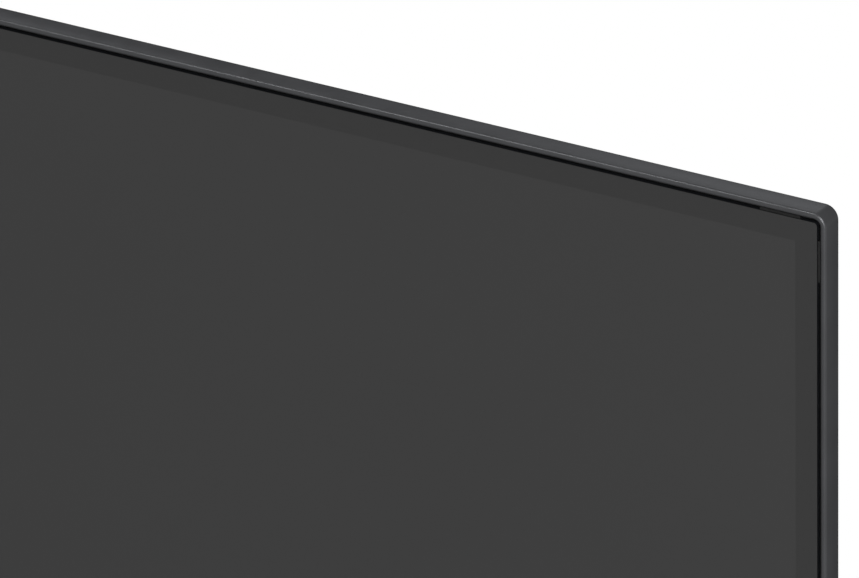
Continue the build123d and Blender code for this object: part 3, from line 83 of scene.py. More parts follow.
def colour(name, description, default):
    """A property that holds a colour."""
    return bpy.props.FloatVectorProperty(
        name=name, description=description, default=default, size=3, min=0, max=1, subtype="COLOR"
    )


class RimSizes(bpy.types.PropertyGroup):
    """Sizes of the frame round the picture."""

    corner: length("Corner", "Outer corner radius of the frame", 4.5)
    lip_width: length("Lip width", "Width of the lip in front of the panel's edge", 2.4)
    lip_depth: length("Lip depth", "Thickness of the lip", 1.6)
    wall: length("Wall", "Thickness of the frame's side wall", 1.2)
    outer_round: length("Outer rounding", "Rounding of the lip's outer edge", 0.8)
    inner_round: length("Inner rounding", "Rounding of the lip's inner edge", 1.3)
    back_round: length("Back rounding", "Rounding of the frame's rear edge", 0.4)
    border: length("Border", "Width of the black border round the picture area", 7.6)


class DetailSizes(bpy.types.PropertyGroup):
    """Sizes of the contacts, the lettering and the other small detail."""

    proud: length("Proud", "How far contacts and lettering stand out of their surface", 0.06)
    hdmi_contact: length("Narrow contact", "Width of a contact in the wide flat sockets", 0.5)
    usb_contact: length("Wide contact", "Width of a contact in the serial sockets", 1.2)
    lan_contact: length("Network contact", "Width of a contact in the network socket", 0.35)
    lan_pitch: length("Network pitch", "Spacing of the network contacts", 1.02)
    numeral: length("Numeral", "Height of the numbers beside the sockets", 4.0)
    numeral_gap: length("Numeral gap", "Space between a socket and its number", 3.2)
    ring: length("Ring", "Width of the moulded ring round a wall-mount post", 2.2)
    chip_part: length("Small part", "Length of a small part on a board", 1.6)
    cloth_gap: length("Cloth gap", "Space between the sound slots and the cloth behind them", 1.2)
    grip: length("Grip", "Width of a ridge on the control stick's knob", 0.5)
    surround_wall: length("Surround wall", "Thickness of the rubber round a speaker's cone", 0.4)


class Finishes(bpy.types.PropertyGroup):
    """Colours and roughness of the finishes that show most."""

    paint: colour("Frame paint", "Dark grey satin metallic paint of the frame", (0.066, 0.067, 0.070))
    paint_roughness: factor("Paint roughness", "Roughness of the frame's paint", 0.36)
    film: colour("Screen film", "Picture area of the screen, switched off", (0.009, 0.009, 0.009))
    film_border: colour("Screen border", "Black border of the screen", (0.0045, 0.0045, 0.0045))
    film_roughness: factor("Film roughness", "Roughness of the anti-glare film", 0.38)
    moulding: colour("Housing plastic", "Dark plastic of the rear housing", (0.018, 0.018, 0.020))
    foot: colour("Foot plastic", "Dark plastic of the feet", (0.028, 0.029, 0.032))
    foam: colour("Foam", "Soft pads in the gap beside the panel", (0.008, 0.008, 0.008))


class StageSettings(bpy.types.PropertyGroup):
    """Camera and floor."""

    azimuth: bpy.props.FloatProperty(
        name="Azimuth", description="Angle of the view round the set, from straight in front",
        default=radians(31.58), subtype="ANGLE",
    )
    elevation: bpy.props.FloatProperty(
        name="Elevation", description="Angle of the view above level", default=radians(26.04),
        subtype="ANGLE",
    )
    roll: bpy.props.FloatProperty(
        name="Roll", description="Turn of the camera about its own line of sight",
        default=radians(-1.19), subtype="ANGLE",
    )
    distance: length("Distance", "From the camera to the point it looks at", 3000)
    focal_pixels: bpy.props.FloatProperty(
        name="Focal length", description="Focal length in pixels of a picture 859 wide", default=9557, min=1
    )
    aim_left: length("Aim left", "Distance of the aimed point left of the frame's right edge", 142.06)
    aim_down: length("Aim down", "Distance of the aimed point below the frame's top edge", 58.10)
    floor_radius: length("Floor radius", "Radius of the floor", 60000)
    fade_forward: length("Fade forward", "Distance of the middle of the lit floor in front of the set", 650)
    fade_left: length("Fade left", "Distance of the middle of the lit floor to the left of the set", 300)
    fade_start: length("Fade start", "Distance from that middle where the floor starts to turn white", 650)
    fade_end: length("Fade end", "Distance from that middle where the floor is all white", 1500)


PICTURE_WIDTH = 859
SENSOR_WIDTH = 36.0
FAR_CLIP = 200
PAINT_EDGE_TINT = (0.39, 0.39, 0.39)

# Counts of contacts and of steps on round shapes

NARROW_CONTACTS, WIDE_CONTACTS, LAN_CONTACTS = 9, 4, 8
LIP_STEPS, CORNER_STEPS, ROLL_STEPS = 8, 12, 12
TURN_STEPS, SURROUND_STEPS = 48, 72

# Radii of the knob's ridges, as shares of the knob's own radius

RIDGE_SHARES = (0.42, 0.58, 0.74)

# Spacing of the small parts on a board, in lengths of one part

COLUMN_SPACING, ROW_SPACING = 7, 6

# Strength of the surroundings' light, and each lamp's name, place, aim, size and power in watts

WORLD_LIGHT = 0.6
LAMPS = (
    ("key_lamp", (1.1, -1.1, 1.3), (0.6, -0.6, 0.0), (0.5, 0.5), 13.0),
    ("front_lamp", (1.1, -2.2, 0.9), (0.4, 0.0, 0.5), (0.8, 0.8), 22.0),
    ("edge_lamp", (-0.3, -0.75, 1.85), (0.35, 0.0, 0.6), (0.4, 0.4), 5.0),
    ("rim_lamp", (-0.1, 1.22, 1.32), (0.45, 0.0, 0.6), (0.35, 0.35), 1.4),
    ("back_lamp", (-1.9, 1.6, 1.5), (0.0, 0.0, 0.3), (1.2, 1.2), 34.0),
)


# Node helpers


def new_material(name):
    """An empty node material with its output, and the node tree."""
    made = bpy.data.materials.new(name)
    made.use_nodes = True
    tree = made.node_tree
    tree.nodes.clear()
    output = tree.nodes.new("ShaderNodeOutputMaterial")
    return made, tree, output


def add(tree, kind, **settings):
    """Adds a node and sets its properties."""
    node = tree.nodes.new(kind)
    for key, value in settings.items():
        setattr(node, key, value)
    return node


def place(tree):
    """The place of a point on the set, in metres."""
    return add(tree, "ShaderNodeTexCoord").outputs["Object"]


def noise(tree, vector, scale, detail=3.0, stretch=None):
    """Fractal noise from nought to one, with its scale in cycles a metre."""
    if stretch:
        mapping = add(tree, "ShaderNodeMapping")
        mapping.inputs["Scale"].default_value = stretch
        tree.links.new(vector, mapping.inputs["Vector"])
        vector = mapping.outputs["Vector"]
    node = add(tree, "ShaderNodeTexNoise")
    node.inputs["Scale"].default_value = scale
    node.inputs["Detail"].default_value = detail
    tree.links.new(vector, node.inputs["Vector"])
    return node.outputs["Fac"]


def spread(tree, value, low, high, start=0.3, end=0.7):
    """Maps a value that runs from start to end onto low to high."""
    node = add(tree, "ShaderNodeMapRange")
    for socket, number in (("From Min", start), ("From Max", end), ("To Min", low), ("To Max", high)):
        node.inputs[socket].default_value = number
    tree.links.new(value, node.inputs["Value"])
    return node.outputs["Result"]


def blend_colours(tree, mix, first, second):
    """Mixes two colours by a value."""
    node = add(tree, "ShaderNodeMix", data_type="RGBA")
    tree.links.new(mix, node.inputs["Factor"])
    for index, tint in ((6, first), (7, second)):
        if isinstance(tint, bpy.types.NodeSocket):
            tree.links.new(tint, node.inputs[index])
        else:
            node.inputs[index].default_value = (*tint, 1)
    return node.outputs[2]


def maths(tree, operation, first, second=0.0):
    """One arithmetic node."""
    node = add(tree, "ShaderNodeMath", operation=operation)
    for index, value in ((0, first), (1, second)):
        if isinstance(value, bpy.types.NodeSocket):
            tree.links.new(value, node.inputs[index])
        else:
            node.inputs[index].default_value = value
    return node.outputs["Value"]


def bump(tree, height, depth, shader):
    """Bump from a height field, its depth in metres, onto a shader."""
    node = add(tree, "ShaderNodeBump")
    node.inputs["Strength"].default_value = 1.0
    node.inputs["Distance"].default_value = depth
    tree.links.new(height, node.inputs["Height"])
    tree.links.new(node.outputs["Normal"], shader.inputs["Normal"])


def seen(tree):
    """One for rays from the camera, from glossy surfaces and through clear ones, else nought."""
    path = add(tree, "ShaderNodeLightPath")
    direct = maths(tree, "MAXIMUM", path.outputs["Is Camera Ray"], path.outputs["Is Glossy Ray"])
    return maths(tree, "MAXIMUM", direct, path.outputs["Is Transmission Ray"])


def shader_of(tree, output, metallic=0.0, specular=0.5, coat=0.0, transmission=0.0):
    """The main shader, with its constants on its own sockets."""
    node = add(tree, "ShaderNodeBsdfPrincipled")
    node.inputs["Metallic"].default_value = metallic
    node.inputs["Specular IOR Level"].default_value = specular
    node.inputs["Coat Weight"].default_value = coat
    node.inputs["Transmission Weight"].default_value = transmission
    tree.links.new(node.outputs["BSDF"], output.inputs["Surface"])
    return node


def darker(tint, share):
    """The same colour, darker or lighter by a share."""
    return tuple(min(part * share, 1.0) for part in tint)


def moulded(
    name, tint, roughness, grain=900.0, depth=0.00004, specular=0.5, metallic=0.0, variation=0.12, edge=None
):
    """Moulded or painted surface: a fine grain, cloudy gloss and a little variation in colour.

    On a metallic one, edge is the colour that it reflects where it is seen at a low angle.
    """
    made, tree, output = new_material(name)
    shader = shader_of(tree, output, metallic=metallic, specular=specular)
    if edge:
        shader.inputs["Specular Tint"].default_value = (*edge, 1)
    spot = place(tree)
    cloud = noise(tree, spot, grain / 30)
    fine = noise(tree, spot, grain, detail=2.0)
    shade = blend_colours(
        tree, spread(tree, cloud, 0, 1), darker(tint, 1 - variation), darker(tint, 1 + variation)
    )
    tree.links.new(shade, shader.inputs["Base Color"])
    tree.links.new(spread(tree, cloud, roughness - 0.03, roughness + 0.03), shader.inputs["Roughness"])
    bump(tree, fine, depth, shader)
    return made


def sheet_metal(name, tint, roughness, stretch=(4.0, 4.0, 120.0), scale=40.0, depth=0.00001):
    """Rolled or brushed metal, with fine lines along the sheet."""
    made, tree, output = new_material(name)
    shader = shader_of(tree, output, metallic=1.0)
    lines = noise(tree, place(tree), scale, detail=4.0, stretch=stretch)
    shade = blend_colours(tree, spread(tree, lines, 0, 1), darker(tint, 0.9), darker(tint, 1.05))
    tree.links.new(shade, shader.inputs["Base Color"])
    tree.links.new(spread(tree, lines, roughness - 0.06, roughness + 0.06), shader.inputs["Roughness"])
    bump(tree, lines, depth, shader)
    return made


def soft_rubber(name, tint, roughness=0.85, grain=1400.0, depth=0.00008, specular=0.3):
    """Rubber or foam, with an open grain."""
    made, tree, output = new_material(name)
    shader = shader_of(tree, output, specular=specular)
    cells = add(tree, "ShaderNodeTexVoronoi")
    cells.inputs["Scale"].default_value = grain
    tree.links.new(place(tree), cells.inputs["Vector"])
    shade = blend_colours(tree, cells.outputs["Distance"], darker(tint, 0.75), darker(tint, 1.2))
    tree.links.new(shade, shader.inputs["Base Color"])
    shader.inputs["Roughness"].default_value = roughness
    bump(tree, cells.outputs["Distance"], depth, shader)
    return made


def circuit_board(name, mask, track, pitch=260.0):
    """Printed board: solder mask over tracks, which show as slightly raised lighter lines."""
    made, tree, output = new_material(name)
    shader = shader_of(tree, output, coat=0.35)
    spot = place(tree)
    cells = add(tree, "ShaderNodeTexVoronoi", distance="MANHATTAN", feature="DISTANCE_TO_EDGE")
    cells.inputs["Scale"].default_value = pitch
    cells.inputs["Randomness"].default_value = 0.6
    tree.links.new(spot, cells.inputs["Vector"])
    lines = spread(tree, cells.outputs["Distance"], 1, 0, start=0.05, end=0.09)
    shade = blend_colours(tree, lines, mask, track)
    tree.links.new(shade, shader.inputs["Base Color"])
    tree.links.new(spread(tree, noise(tree, spot, 200), 0.28, 0.4), shader.inputs["Roughness"])
    bump(tree, lines, 0.00003, shader)
    return made


def clear_plastic(name, tint, roughness, strength, specular=0.5):
    """Clear or frosted plastic or glass."""
    made, tree, output = new_material(name)
    shader = shader_of(tree, output, specular=specular, transmission=strength)
    cloud = noise(tree, place(tree), 60)
    shade = blend_colours(tree, spread(tree, cloud, 0, 1), darker(tint, 0.97), tint)
    tree.links.new(shade, shader.inputs["Base Color"])
    tree.links.new(spread(tree, cloud, roughness, roughness + 0.05), shader.inputs["Roughness"])
    return made


def set_material(node_name, made):
    """Gives a CAD node one material in all its slots."""
    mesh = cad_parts[node_name].data
    if not mesh.materials:
        mesh.materials.append(made)
    for index in range(len(mesh.materials)):
        mesh.materials[index] = made


def dress(made, *node_names):
    """Gives several CAD nodes the same material."""
    for name in node_names:
        set_material(name, made)


# Mesh helpers


def finish_piece(name, mesh_data, made, body="root", sharp=radians(35)):
    """Turns a bmesh into a piece with a material and a slot. It rides on a body, unless that is None."""
    bmesh.ops.recalc_face_normals(mesh_data, faces=mesh_data.faces)
    mesh = bpy.data.meshes.new(name)
    mesh_data.to_mesh(mesh)
    mesh_data.free()
    piece = bpy.data.objects.new(name, mesh)
    bpy.context.scene.collection.objects.link(piece)
    mesh.shade_smooth()
    mesh.set_sharp_from_angle(angle=sharp)
    mesh.materials.append(made)
    if body:
        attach(piece, body)
    return piece


def rounded_path(half_width, half_height, radius, steps):
    """Points of a rounded rectangle about the origin, anticlockwise."""
    points = []
    for quarter, (side, rise) in enumerate(((1, 1), (-1, 1), (-1, -1), (1, -1))):
        for step in range(steps + 1):
            turn = (quarter + step / steps) * pi / 2
            points.append((
                side * (half_width - radius) + radius * cos(turn),
                rise * (half_height - radius) + radius * sin(turn),
            ))
    return points


def arc(centre, radius, start, end, steps):
    """Points on an arc, its angles in degrees."""
    return [
        (centre[0] + radius * cos(radians(start + (end - start) * step / steps)),
         centre[1] + radius * sin(radians(start + (end - start) * step / steps)))
        for step in range(steps + 1)
    ]


def swept_ring(centre, half_width, half_height, corner, section, steps):
    """A closed section of (inset, depth) points carried round a rounded rectangle in the X-Z plane."""
    mesh_data = bmesh.new()
    loops = []
    for inset, depth in section:
        path = rounded_path(half_width - inset, half_height - inset, max(corner - inset, MM / 10), steps)
        loops.append([
            mesh_data.verts.new((centre[0] + x, centre[1] + depth, centre[2] + z)) for x, z in path
        ])
    join_rings(mesh_data, loops)
    return mesh_data


def add_block(mesh_data, low, high, bevel):
    """Adds a box with rounded edges to a bmesh, between two corners."""
    low, high = Vector(low), Vector(high)
    size = high - low
    made = bmesh.ops.create_cube(mesh_data, size=1.0)
    corners = made["verts"]
    bmesh.ops.scale(mesh_data, vec=size, verts=corners)
    bmesh.ops.translate(mesh_data, vec=(low + high) / 2, verts=corners)
    edges = {edge for corner in corners for edge in corner.link_edges}
    bmesh.ops.bevel(mesh_data, geom=list(edges), offset=bevel, segments=2, profile=0.5, affect="EDGES")


def add_turned(mesh_data, centre, axis, outline, steps=TURN_STEPS):
    """Adds a ring turned about an axis. Its closed outline is points of radius and distance along it."""
    turn = Vector((0, 0, 1)).rotation_difference(Vector(axis)).to_matrix().to_4x4()
    spot = Matrix.Translation(centre) @ turn
    angles = [2 * pi * step / steps for step in range(steps)]
    rings = []
    for radius, along in outline:
        rings.append([
            mesh_data.verts.new(spot @ Vector((radius * cos(angle), radius * sin(angle), along)))
            for angle in angles
        ])
    join_rings(mesh_data, rings)


def join_rings(mesh_data, rings):
    """Joins rings of as many points each, the last to the first, into one closed skin."""
    for ring, following in zip(rings, rings[1:] + rings[:1]):
        for index, point in enumerate(ring):
            after = (index + 1) % len(ring)
            mesh_data.faces.new((point, ring[after], following[after], following[index]))


def islands(node_name):
    """The lowest and highest corners of each separate solid in a CAD node, in a fixed order."""
    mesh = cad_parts[node_name].data
    places, owner = {}, []
    for vertex in mesh.vertices:
        key = tuple(round(part / MM, 3) for part in vertex.co)
        owner.append(places.setdefault(key, len(places)))
    parent = list(range(len(places)))

    def root(index):
        while parent[index] != index:
            parent[index] = parent[parent[index]]
            index = parent[index]
        return index

    for face in mesh.polygons:
        first = root(owner[face.vertices[0]])
        for vertex in face.vertices[1:]:
            parent[root(owner[vertex])] = first
    groups = {}
    for vertex in mesh.vertices:
        groups.setdefault(root(owner[vertex.index]), []).append(vertex.co)
    boxes = []
    for points in groups.values():
        low = Vector(min(point[axis] for point in points) for axis in range(3))
        high = Vector(max(point[axis] for point in points) for axis in range(3))
        boxes.append((low, high))
    return sorted(boxes, key=lambda pair: tuple(round(part, 6) for part in (*pair[0], *pair[1])))


def across(count, pitch):
    """Evenly spaced offsets about the middle."""
    return [(index - (count - 1) / 2) * pitch for index in range(count)]


def leaves_gap(column, row):
    """True for the places on a board that stay empty, in a fixed uneven pattern."""
    return (column * 5 + row * 3) % 7 > 2


# Pieces


class TV_OT_stage(bpy.types.Operator):
    """Builds the floor, the light and the camera"""

    bl_idname = "television.stage"
    bl_label = "Stage"

    def execute(self, context):
        settings = context.scene.tv_stage
        self.make_floor(settings)
        self.make_world(context)
        self.make_lamps()
        self.make_camera(context, settings)
        context.scene.view_settings.view_transform = "Standard"
        return {"FINISHED"}

    def make_floor(self, settings):
        """A big pale floor: lit paper under the set, which keeps its shadow, and plain white further off."""
        mesh_data = bmesh.new()
        bmesh.ops.create_circle(mesh_data, cap_ends=True, segments=96, radius=settings.floor_radius)
        mesh = bpy.data.meshes.new("floor")
        mesh_data.to_mesh(mesh)
        mesh_data.free()
        floor = bpy.data.objects.new("floor", mesh)
        bpy.context.scene.collection.objects.link(floor)
        made, tree, output = new_material("floor_paper")
        spot = place(tree)
        shader = add(tree, "ShaderNodeBsdfDiffuse")
        grain = noise(tree, spot, 300)
        paper = blend_colours(tree, spread(tree, grain, 0, 1), (0.80, 0.80, 0.80), (0.82, 0.82, 0.82))
        tree.links.new(paper, shader.inputs["Color"])
        glow = add(tree, "ShaderNodeEmission")
        away = add(tree, "ShaderNodeVectorMath", operation="DISTANCE")
        away.inputs[1].default_value = (-settings.fade_left, -settings.fade_forward, 0)
        tree.links.new(spot, away.inputs[0])
        fade = spread(tree, away.outputs["Value"], 0, 1, start=settings.fade_start, end=settings.fade_end)
        mix = add(tree, "ShaderNodeMixShader")
        tree.links.new(maths(tree, "MULTIPLY", fade, seen(tree)), mix.inputs["Fac"])
        tree.links.new(shader.outputs["BSDF"], mix.inputs[1])
        tree.links.new(glow.outputs["Emission"], mix.inputs[2])
        tree.links.new(mix.outputs["Shader"], output.inputs["Surface"])
        mesh.materials.append(made)

    def make_world(self, context):
        """White surroundings, which light the set less strongly than they show."""
        world = bpy.data.worlds.new("white_room")
        context.scene.world = world
        world.use_nodes = True
        tree = world.node_tree
        tree.nodes.clear()
        output = add(tree, "ShaderNodeOutputWorld")
        lit = add(tree, "ShaderNodeBackground")
        lit.inputs["Strength"].default_value = WORLD_LIGHT
        shown = add(tree, "ShaderNodeBackground")
        mix = add(tree, "ShaderNodeMixShader")
        tree.links.new(seen(tree), mix.inputs["Fac"])
        tree.links.new(lit.outputs["Background"], mix.inputs[1])
        tree.links.new(shown.outputs["Background"], mix.inputs[2])
        tree.links.new(mix.outputs["Shader"], output.inputs["Surface"])

    def make_lamps(self):
        """Square lamps round the set, each turned to its aim."""
        for name, spot, target, size, power in LAMPS:
            data = bpy.data.lights.new(name, "AREA")
            data.shape = "RECTANGLE"
            data.size, data.size_y = size
            data.energy = power
            lamp = bpy.data.objects.new(name, data)
            bpy.context.scene.collection.objects.link(lamp)
            lamp.location = spot
            lamp.rotation_euler = (Vector(target) - Vector(spot)).to_track_quat("-Z", "Y").to_euler()

    def make_camera(self, context, settings):
        """A long lens on the frame's top right corner, placed by its angles and its distance."""
        low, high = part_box("bezel_frame")
        target = Vector((high.x - settings.aim_left, low.y, high.z - settings.aim_down))
        turn, rise = settings.azimuth, settings.elevation
        ahead = Vector((-sin(turn) * cos(rise), cos(turn) * cos(rise), -sin(rise)))
        level = Vector((cos(turn), sin(turn), 0))
        upward = level.cross(ahead)
        right = cos(settings.roll) * level + sin(settings.roll) * upward
        top = cos(settings.roll) * upward - sin(settings.roll) * level
        data = bpy.data.cameras.new("camera")
        data.sensor_width = SENSOR_WIDTH
        data.lens = settings.focal_pixels / PICTURE_WIDTH * SENSOR_WIDTH
        data.clip_end = FAR_CLIP
        camera = bpy.data.objects.new("camera", data)
        context.scene.collection.objects.link(camera)
        spot = target - ahead * settings.distance
        camera.matrix_world = Matrix.Translation(spot) @ Matrix((right, top, -ahead)).transposed().to_4x4()
        context.scene.camera = camera


class TV_OT_rim(bpy.types.Operator):
    """Builds the satin frame round the picture, with its rounded lip"""

    bl_idname = "television.rim"
    bl_label = "Frame"

    def execute(self, context):
        sizes, finishes = context.scene.tv_sizes, context.scene.tv_finishes
        low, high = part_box("bezel_frame")
        deep = high.y - low.y
        outer, inner, back = sizes.outer_round, sizes.inner_round, sizes.back_round
        lip, wall = sizes.lip_width, sizes.wall
        section = arc((outer, outer), outer, 180, 270, LIP_STEPS)
        section += arc((lip - inner, inner), inner, 270, 360, LIP_STEPS)
        section += [(lip, sizes.lip_depth), (wall, sizes.lip_depth), (wall, deep)]
        section += arc((back, deep - back), back, 90, 180, LIP_STEPS // 2)
        centre = ((low.x + high.x) / 2, low.y, (low.z + high.z) / 2)
        mesh_data = swept_ring(
            centre, (high.x - low.x) / 2, (high.z - low.z) / 2, sizes.corner, section, CORNER_STEPS
        )
        paint = moulded(
            "frame_paint", finishes.paint, finishes.paint_roughness, grain=2600.0, depth=0.000012,
            metallic=1.0, variation=0.05, edge=PAINT_EDGE_TINT,
        )
        ring = finish_piece("frame_rim", mesh_data, paint, sharp=radians(40))
        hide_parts("bezel_frame")
        return {"FINISHED"}


class TV_OT_screen(bpy.types.Operator):
    """Gives the screen its matte film with a black border, and the parts behind it their finishes"""

    bl_idname = "television.screen"
    bl_label = "Screen"

    def execute(self, context):
        sizes, finishes = context.scene.tv_sizes, context.scene.tv_finishes
        set_material("front_polariser", self.film(sizes.border, finishes))
        dress(clear_plastic("panel_glass", (0.012, 0.013, 0.015), 0.2, 0.1, specular=0.12), "lcd_glass")
        dress(soft_rubber("foam_pad", finishes.foam, specular=0.14), "corner_pads")
        dress(soft_rubber("foam_tape", darker(finishes.foam, 0.4), specular=0.1), "cell_tape")
        dress(moulded("mid_frame_black", (0.003, 0.003, 0.003), 0.7, specular=0.1), "mid_frame")
        dress(moulded("chin_satin", (0.022, 0.022, 0.025), 0.38, depth=0.00001), "chin_strip")
        frosted = clear_plastic("frosted_sheet", (0.85, 0.87, 0.88), 0.35, 0.6)
        dress(frosted, "prism_sheet", "diffuser_sheet")
        dress(clear_plastic("light_guide", (0.90, 0.94, 0.96), 0.03, 0.9), "light_guide")
        dress(moulded("reflector_white", (0.88, 0.88, 0.87), 0.5), "reflector_sheet")
        aluminium = sheet_metal("bare_aluminium", (0.72, 0.73, 0.74), 0.35)
        dress(aluminium, "led_bar", "heat_spreader", "heat_sinks")
        dress(moulded("lamp_phosphor", (0.85, 0.68, 0.12), 0.35), "led_chips")
        dress(sheet_metal("chassis_zinc", (0.56, 0.57, 0.58), 0.38), "rear_chassis", "stand_brackets")
        return {"FINISHED"}

    def film(self, border, finishes):
        """The film: matte, very dark, with a border a little blacker than the picture area."""
        low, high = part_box("front_polariser")
        made, tree, output = new_material("screen_film")
        shader = shader_of(tree, output, specular=0.41)
        spot = place(tree)
        split = add(tree, "ShaderNodeSeparateXYZ")
        tree.links.new(spot, split.inputs["Vector"])
        across = maths(tree, "ABSOLUTE", split.outputs["X"])
        middle = (low.z + high.z) / 2
        upward = maths(tree, "ABSOLUTE", maths(tree, "SUBTRACT", split.outputs["Z"], middle))
        past_side = maths(tree, "GREATER_THAN", across, high.x - border)
        past_end = maths(tree, "GREATER_THAN", upward, (high.z - low.z) / 2 - border)
        edge = maths(tree, "MAXIMUM", past_side, past_end)
        haze = noise(tree, spot, 9.0)
        picture = blend_colours(
            tree, spread(tree, haze, 0, 1), darker(finishes.film, 0.96), darker(finishes.film, 1.04)
        )
        shade = blend_colours(tree, edge, picture, tuple(finishes.film_border))
        tree.links.new(shade, shader.inputs["Base Color"])
        rough = finishes.film_roughness
        tree.links.new(spread(tree, haze, rough - 0.01, rough + 0.01), shader.inputs["Roughness"])
        bump(tree, noise(tree, spot, 9000.0, detail=1.0), 0.000002, shader)
        return made


class TV_OT_housing(bpy.types.Operator):
    """Finishes the rear housing and adds its moulded detail"""

    bl_idname = "television.housing"
    bl_label = "Rear housing"

    def execute(self, context):
        finishes = context.scene.tv_finishes
        plastic = moulded(
            "housing_plastic", finishes.moulding, 0.55, grain=1100.0, depth=0.00009,
            specular=0.45, variation=0.08,
        )
        set_material("back_cover", plastic)
        black = moulded("black_screw", (0.012, 0.012, 0.013), 0.35, depth=0.00001, specular=0.6)
        dress(black, "cover_screws", "foot_screws")
        dress(sheet_metal("post_zinc", (0.60, 0.61, 0.62), 0.3), "wall_mount_posts", "board_screws")
        self.make_rings(context.scene.tv_details, plastic)
        self.make_cloth(context.scene.tv_details)
        return {"FINISHED"}

    def make_rings(self, sizes, plastic):
        """A low moulded ring round each wall-mount post."""
        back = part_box("back_cover")[1].y
        mesh_data = bmesh.new()
        for low, high in islands("wall_mount_posts"):
            middle = (low + high) / 2
            hole = (high.x - low.x) / 2
            outline = [
                (hole, -sizes.proud), (hole, sizes.ring / 8), (hole + sizes.ring / 4, sizes.ring / 4),
                (hole + sizes.ring * 0.75, sizes.ring / 4), (hole + sizes.ring, -sizes.proud),
            ]
            add_turned(mesh_data, (middle.x, back, middle.z), (0, 1, 0), outline)
        finish_piece("post_rings", mesh_data, plastic)

    def make_cloth(self, sizes):
        """Woven cloth behind the sound slots under each speaker."""
        made, tree, output = new_material("speaker_cloth")
        shader = shader_of(tree, output, specular=0.2)
        spot = place(tree)
        waves = []
        for direction in ("X", "Y"):
            wave = add(tree, "ShaderNodeTexWave", wave_type="BANDS", bands_direction=direction)
            wave.inputs["Scale"].default_value = 420
            tree.links.new(spot, wave.inputs["Vector"])
            waves.append(wave.outputs["Fac"])
        weave = maths(tree, "MULTIPLY", *waves)
        shade = blend_colours(tree, weave, (0.006, 0.006, 0.006), (0.022, 0.022, 0.022))
        tree.links.new(shade, shader.inputs["Base Color"])
        shader.inputs["Roughness"].default_value = 0.9
        bump(tree, weave, 0.0002, shader)
        mesh_data = bmesh.new()
        for low, high in islands("speaker_boxes"):
            rim = sizes.cloth_gap * 2
            floor = low.z - sizes.cloth_gap / 4
            add_block(
                mesh_data, (low.x + rim, low.y + rim, floor - sizes.cloth_gap / 4),
                (high.x - rim, high.y - rim, floor), bevel=sizes.proud,
            )
        finish_piece("speaker_cloth", mesh_data, made)


class TV_OT_terminals(bpy.types.Operator):
    """Finishes the sockets and adds their contacts"""

    bl_idname = "television.terminals"
    bl_label = "Terminals"

    def execute(self, context):
        nickel = sheet_metal("nickel", (0.70, 0.68, 0.64), 0.22, stretch=(30.0, 30.0, 30.0))
        port = moulded("port_black", (0.010, 0.010, 0.010), 0.42, depth=0.00002)
        dress(nickel, "socket_shells", "tuner")
        dress(
            port, "socket_tongues", "lan_socket", "optical_socket", "optical_shutter", "headphone_socket",
            "mains_inlet", "control_switch",
        )
        dress(moulded("plate_paint", (0.020, 0.020, 0.022), 0.45, depth=0.00003), "jack_plate")
        dress(sheet_metal("brass", (0.66, 0.50, 0.22), 0.25), "inlet_pins")
        self.make_contacts(context.scene.tv_details)
        self.make_numbers(context.scene.tv_details)
        return {"FINISHED"}

    def make_contacts(self, sizes):
        """Gold contacts on the tongues of the sockets and in the network socket."""
        gold = sheet_metal("gold_contact", (0.78, 0.58, 0.22), 0.2)
        proud = sizes.proud
        mesh_data = bmesh.new()
        for low, high in islands("socket_tongues"):
            thick = high.y - low.y
            narrow = thick < sizes.usb_contact
            width = sizes.hdmi_contact if narrow else sizes.usb_contact
            count = NARROW_CONTACTS if narrow else WIDE_CONTACTS
            pitch = (high.z - low.z - 2 * width) / (count - 1)
            middle = (low.z + high.z) / 2
            faces = [(high.y - proud, high.y + proud)]
            if narrow:
                faces.append((low.y - proud, low.y + proud))
            for near, far in faces:
                for offset in across(count, pitch):
                    add_block(
                        mesh_data, (low.x, near, middle + offset - width / 2),
                        (high.x - width, far, middle + offset + width / 2), bevel=proud / 2,
                    )
        low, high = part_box("lan_socket")
        middle = (low + high) / 2
        wall = (high.z - low.z) / 10
        width = sizes.lan_contact
        for offset in across(LAN_CONTACTS, sizes.lan_pitch):
            add_block(
                mesh_data, (middle.x, low.y + wall, middle.z + offset - width / 2),
                (high.x - wall, low.y + wall + width, middle.z + offset + width / 2), bevel=proud,
            )
        finish_piece("socket_contacts", mesh_data, gold)

    def make_numbers(self, sizes):
        """Plain raised numbers on the plate, beside the sockets that there are several of."""
        white = moulded("print_white", (0.62, 0.62, 0.62), 0.5, depth=0.000005)
        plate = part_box("jack_plate")[1].x
        groups = {}
        for low, high in islands("socket_tongues"):
            groups.setdefault(round((high.y - low.y) / MM, 1), []).append((low, high))
        if len(groups) != 2:
            raise RuntimeError("the numbers need two kinds of socket tongue")
        scene = bpy.context.scene
        for name, tongues in zip(("narrow", "wide"), (groups[key] for key in sorted(groups))):
            for index, (low, high) in enumerate(sorted(tongues, key=lambda pair: -pair[0].z)):
                outline = bpy.data.curves.new(f"number_{name}_{index + 1}", "FONT")
                outline.body = str(index + 1)
                outline.size = sizes.numeral
                outline.extrude = sizes.proud
                outline.align_x, outline.align_y = "CENTER", "CENTER"
                text = bpy.data.objects.new(outline.name, outline)
                scene.collection.objects.link(text)
                spot = (plate, high.y + sizes.numeral_gap + sizes.numeral, (low.z + high.z) / 2)
                facing = Matrix(((0, 0, 1), (1, 0, 0), (0, 1, 0))).to_4x4()
                text.matrix_world = Matrix.Translation(spot) @ facing
                scene.view_layers[0].update()
                mesh = bpy.data.meshes.new_from_object(text)
                mesh.transform(text.matrix_world)
                bpy.data.objects.remove(text)
                mesh.materials.clear()
                mesh.materials.append(white)
                number = bpy.data.objects.new(outline.name, mesh)
                scene.collection.objects.link(number)
                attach(number, "root")


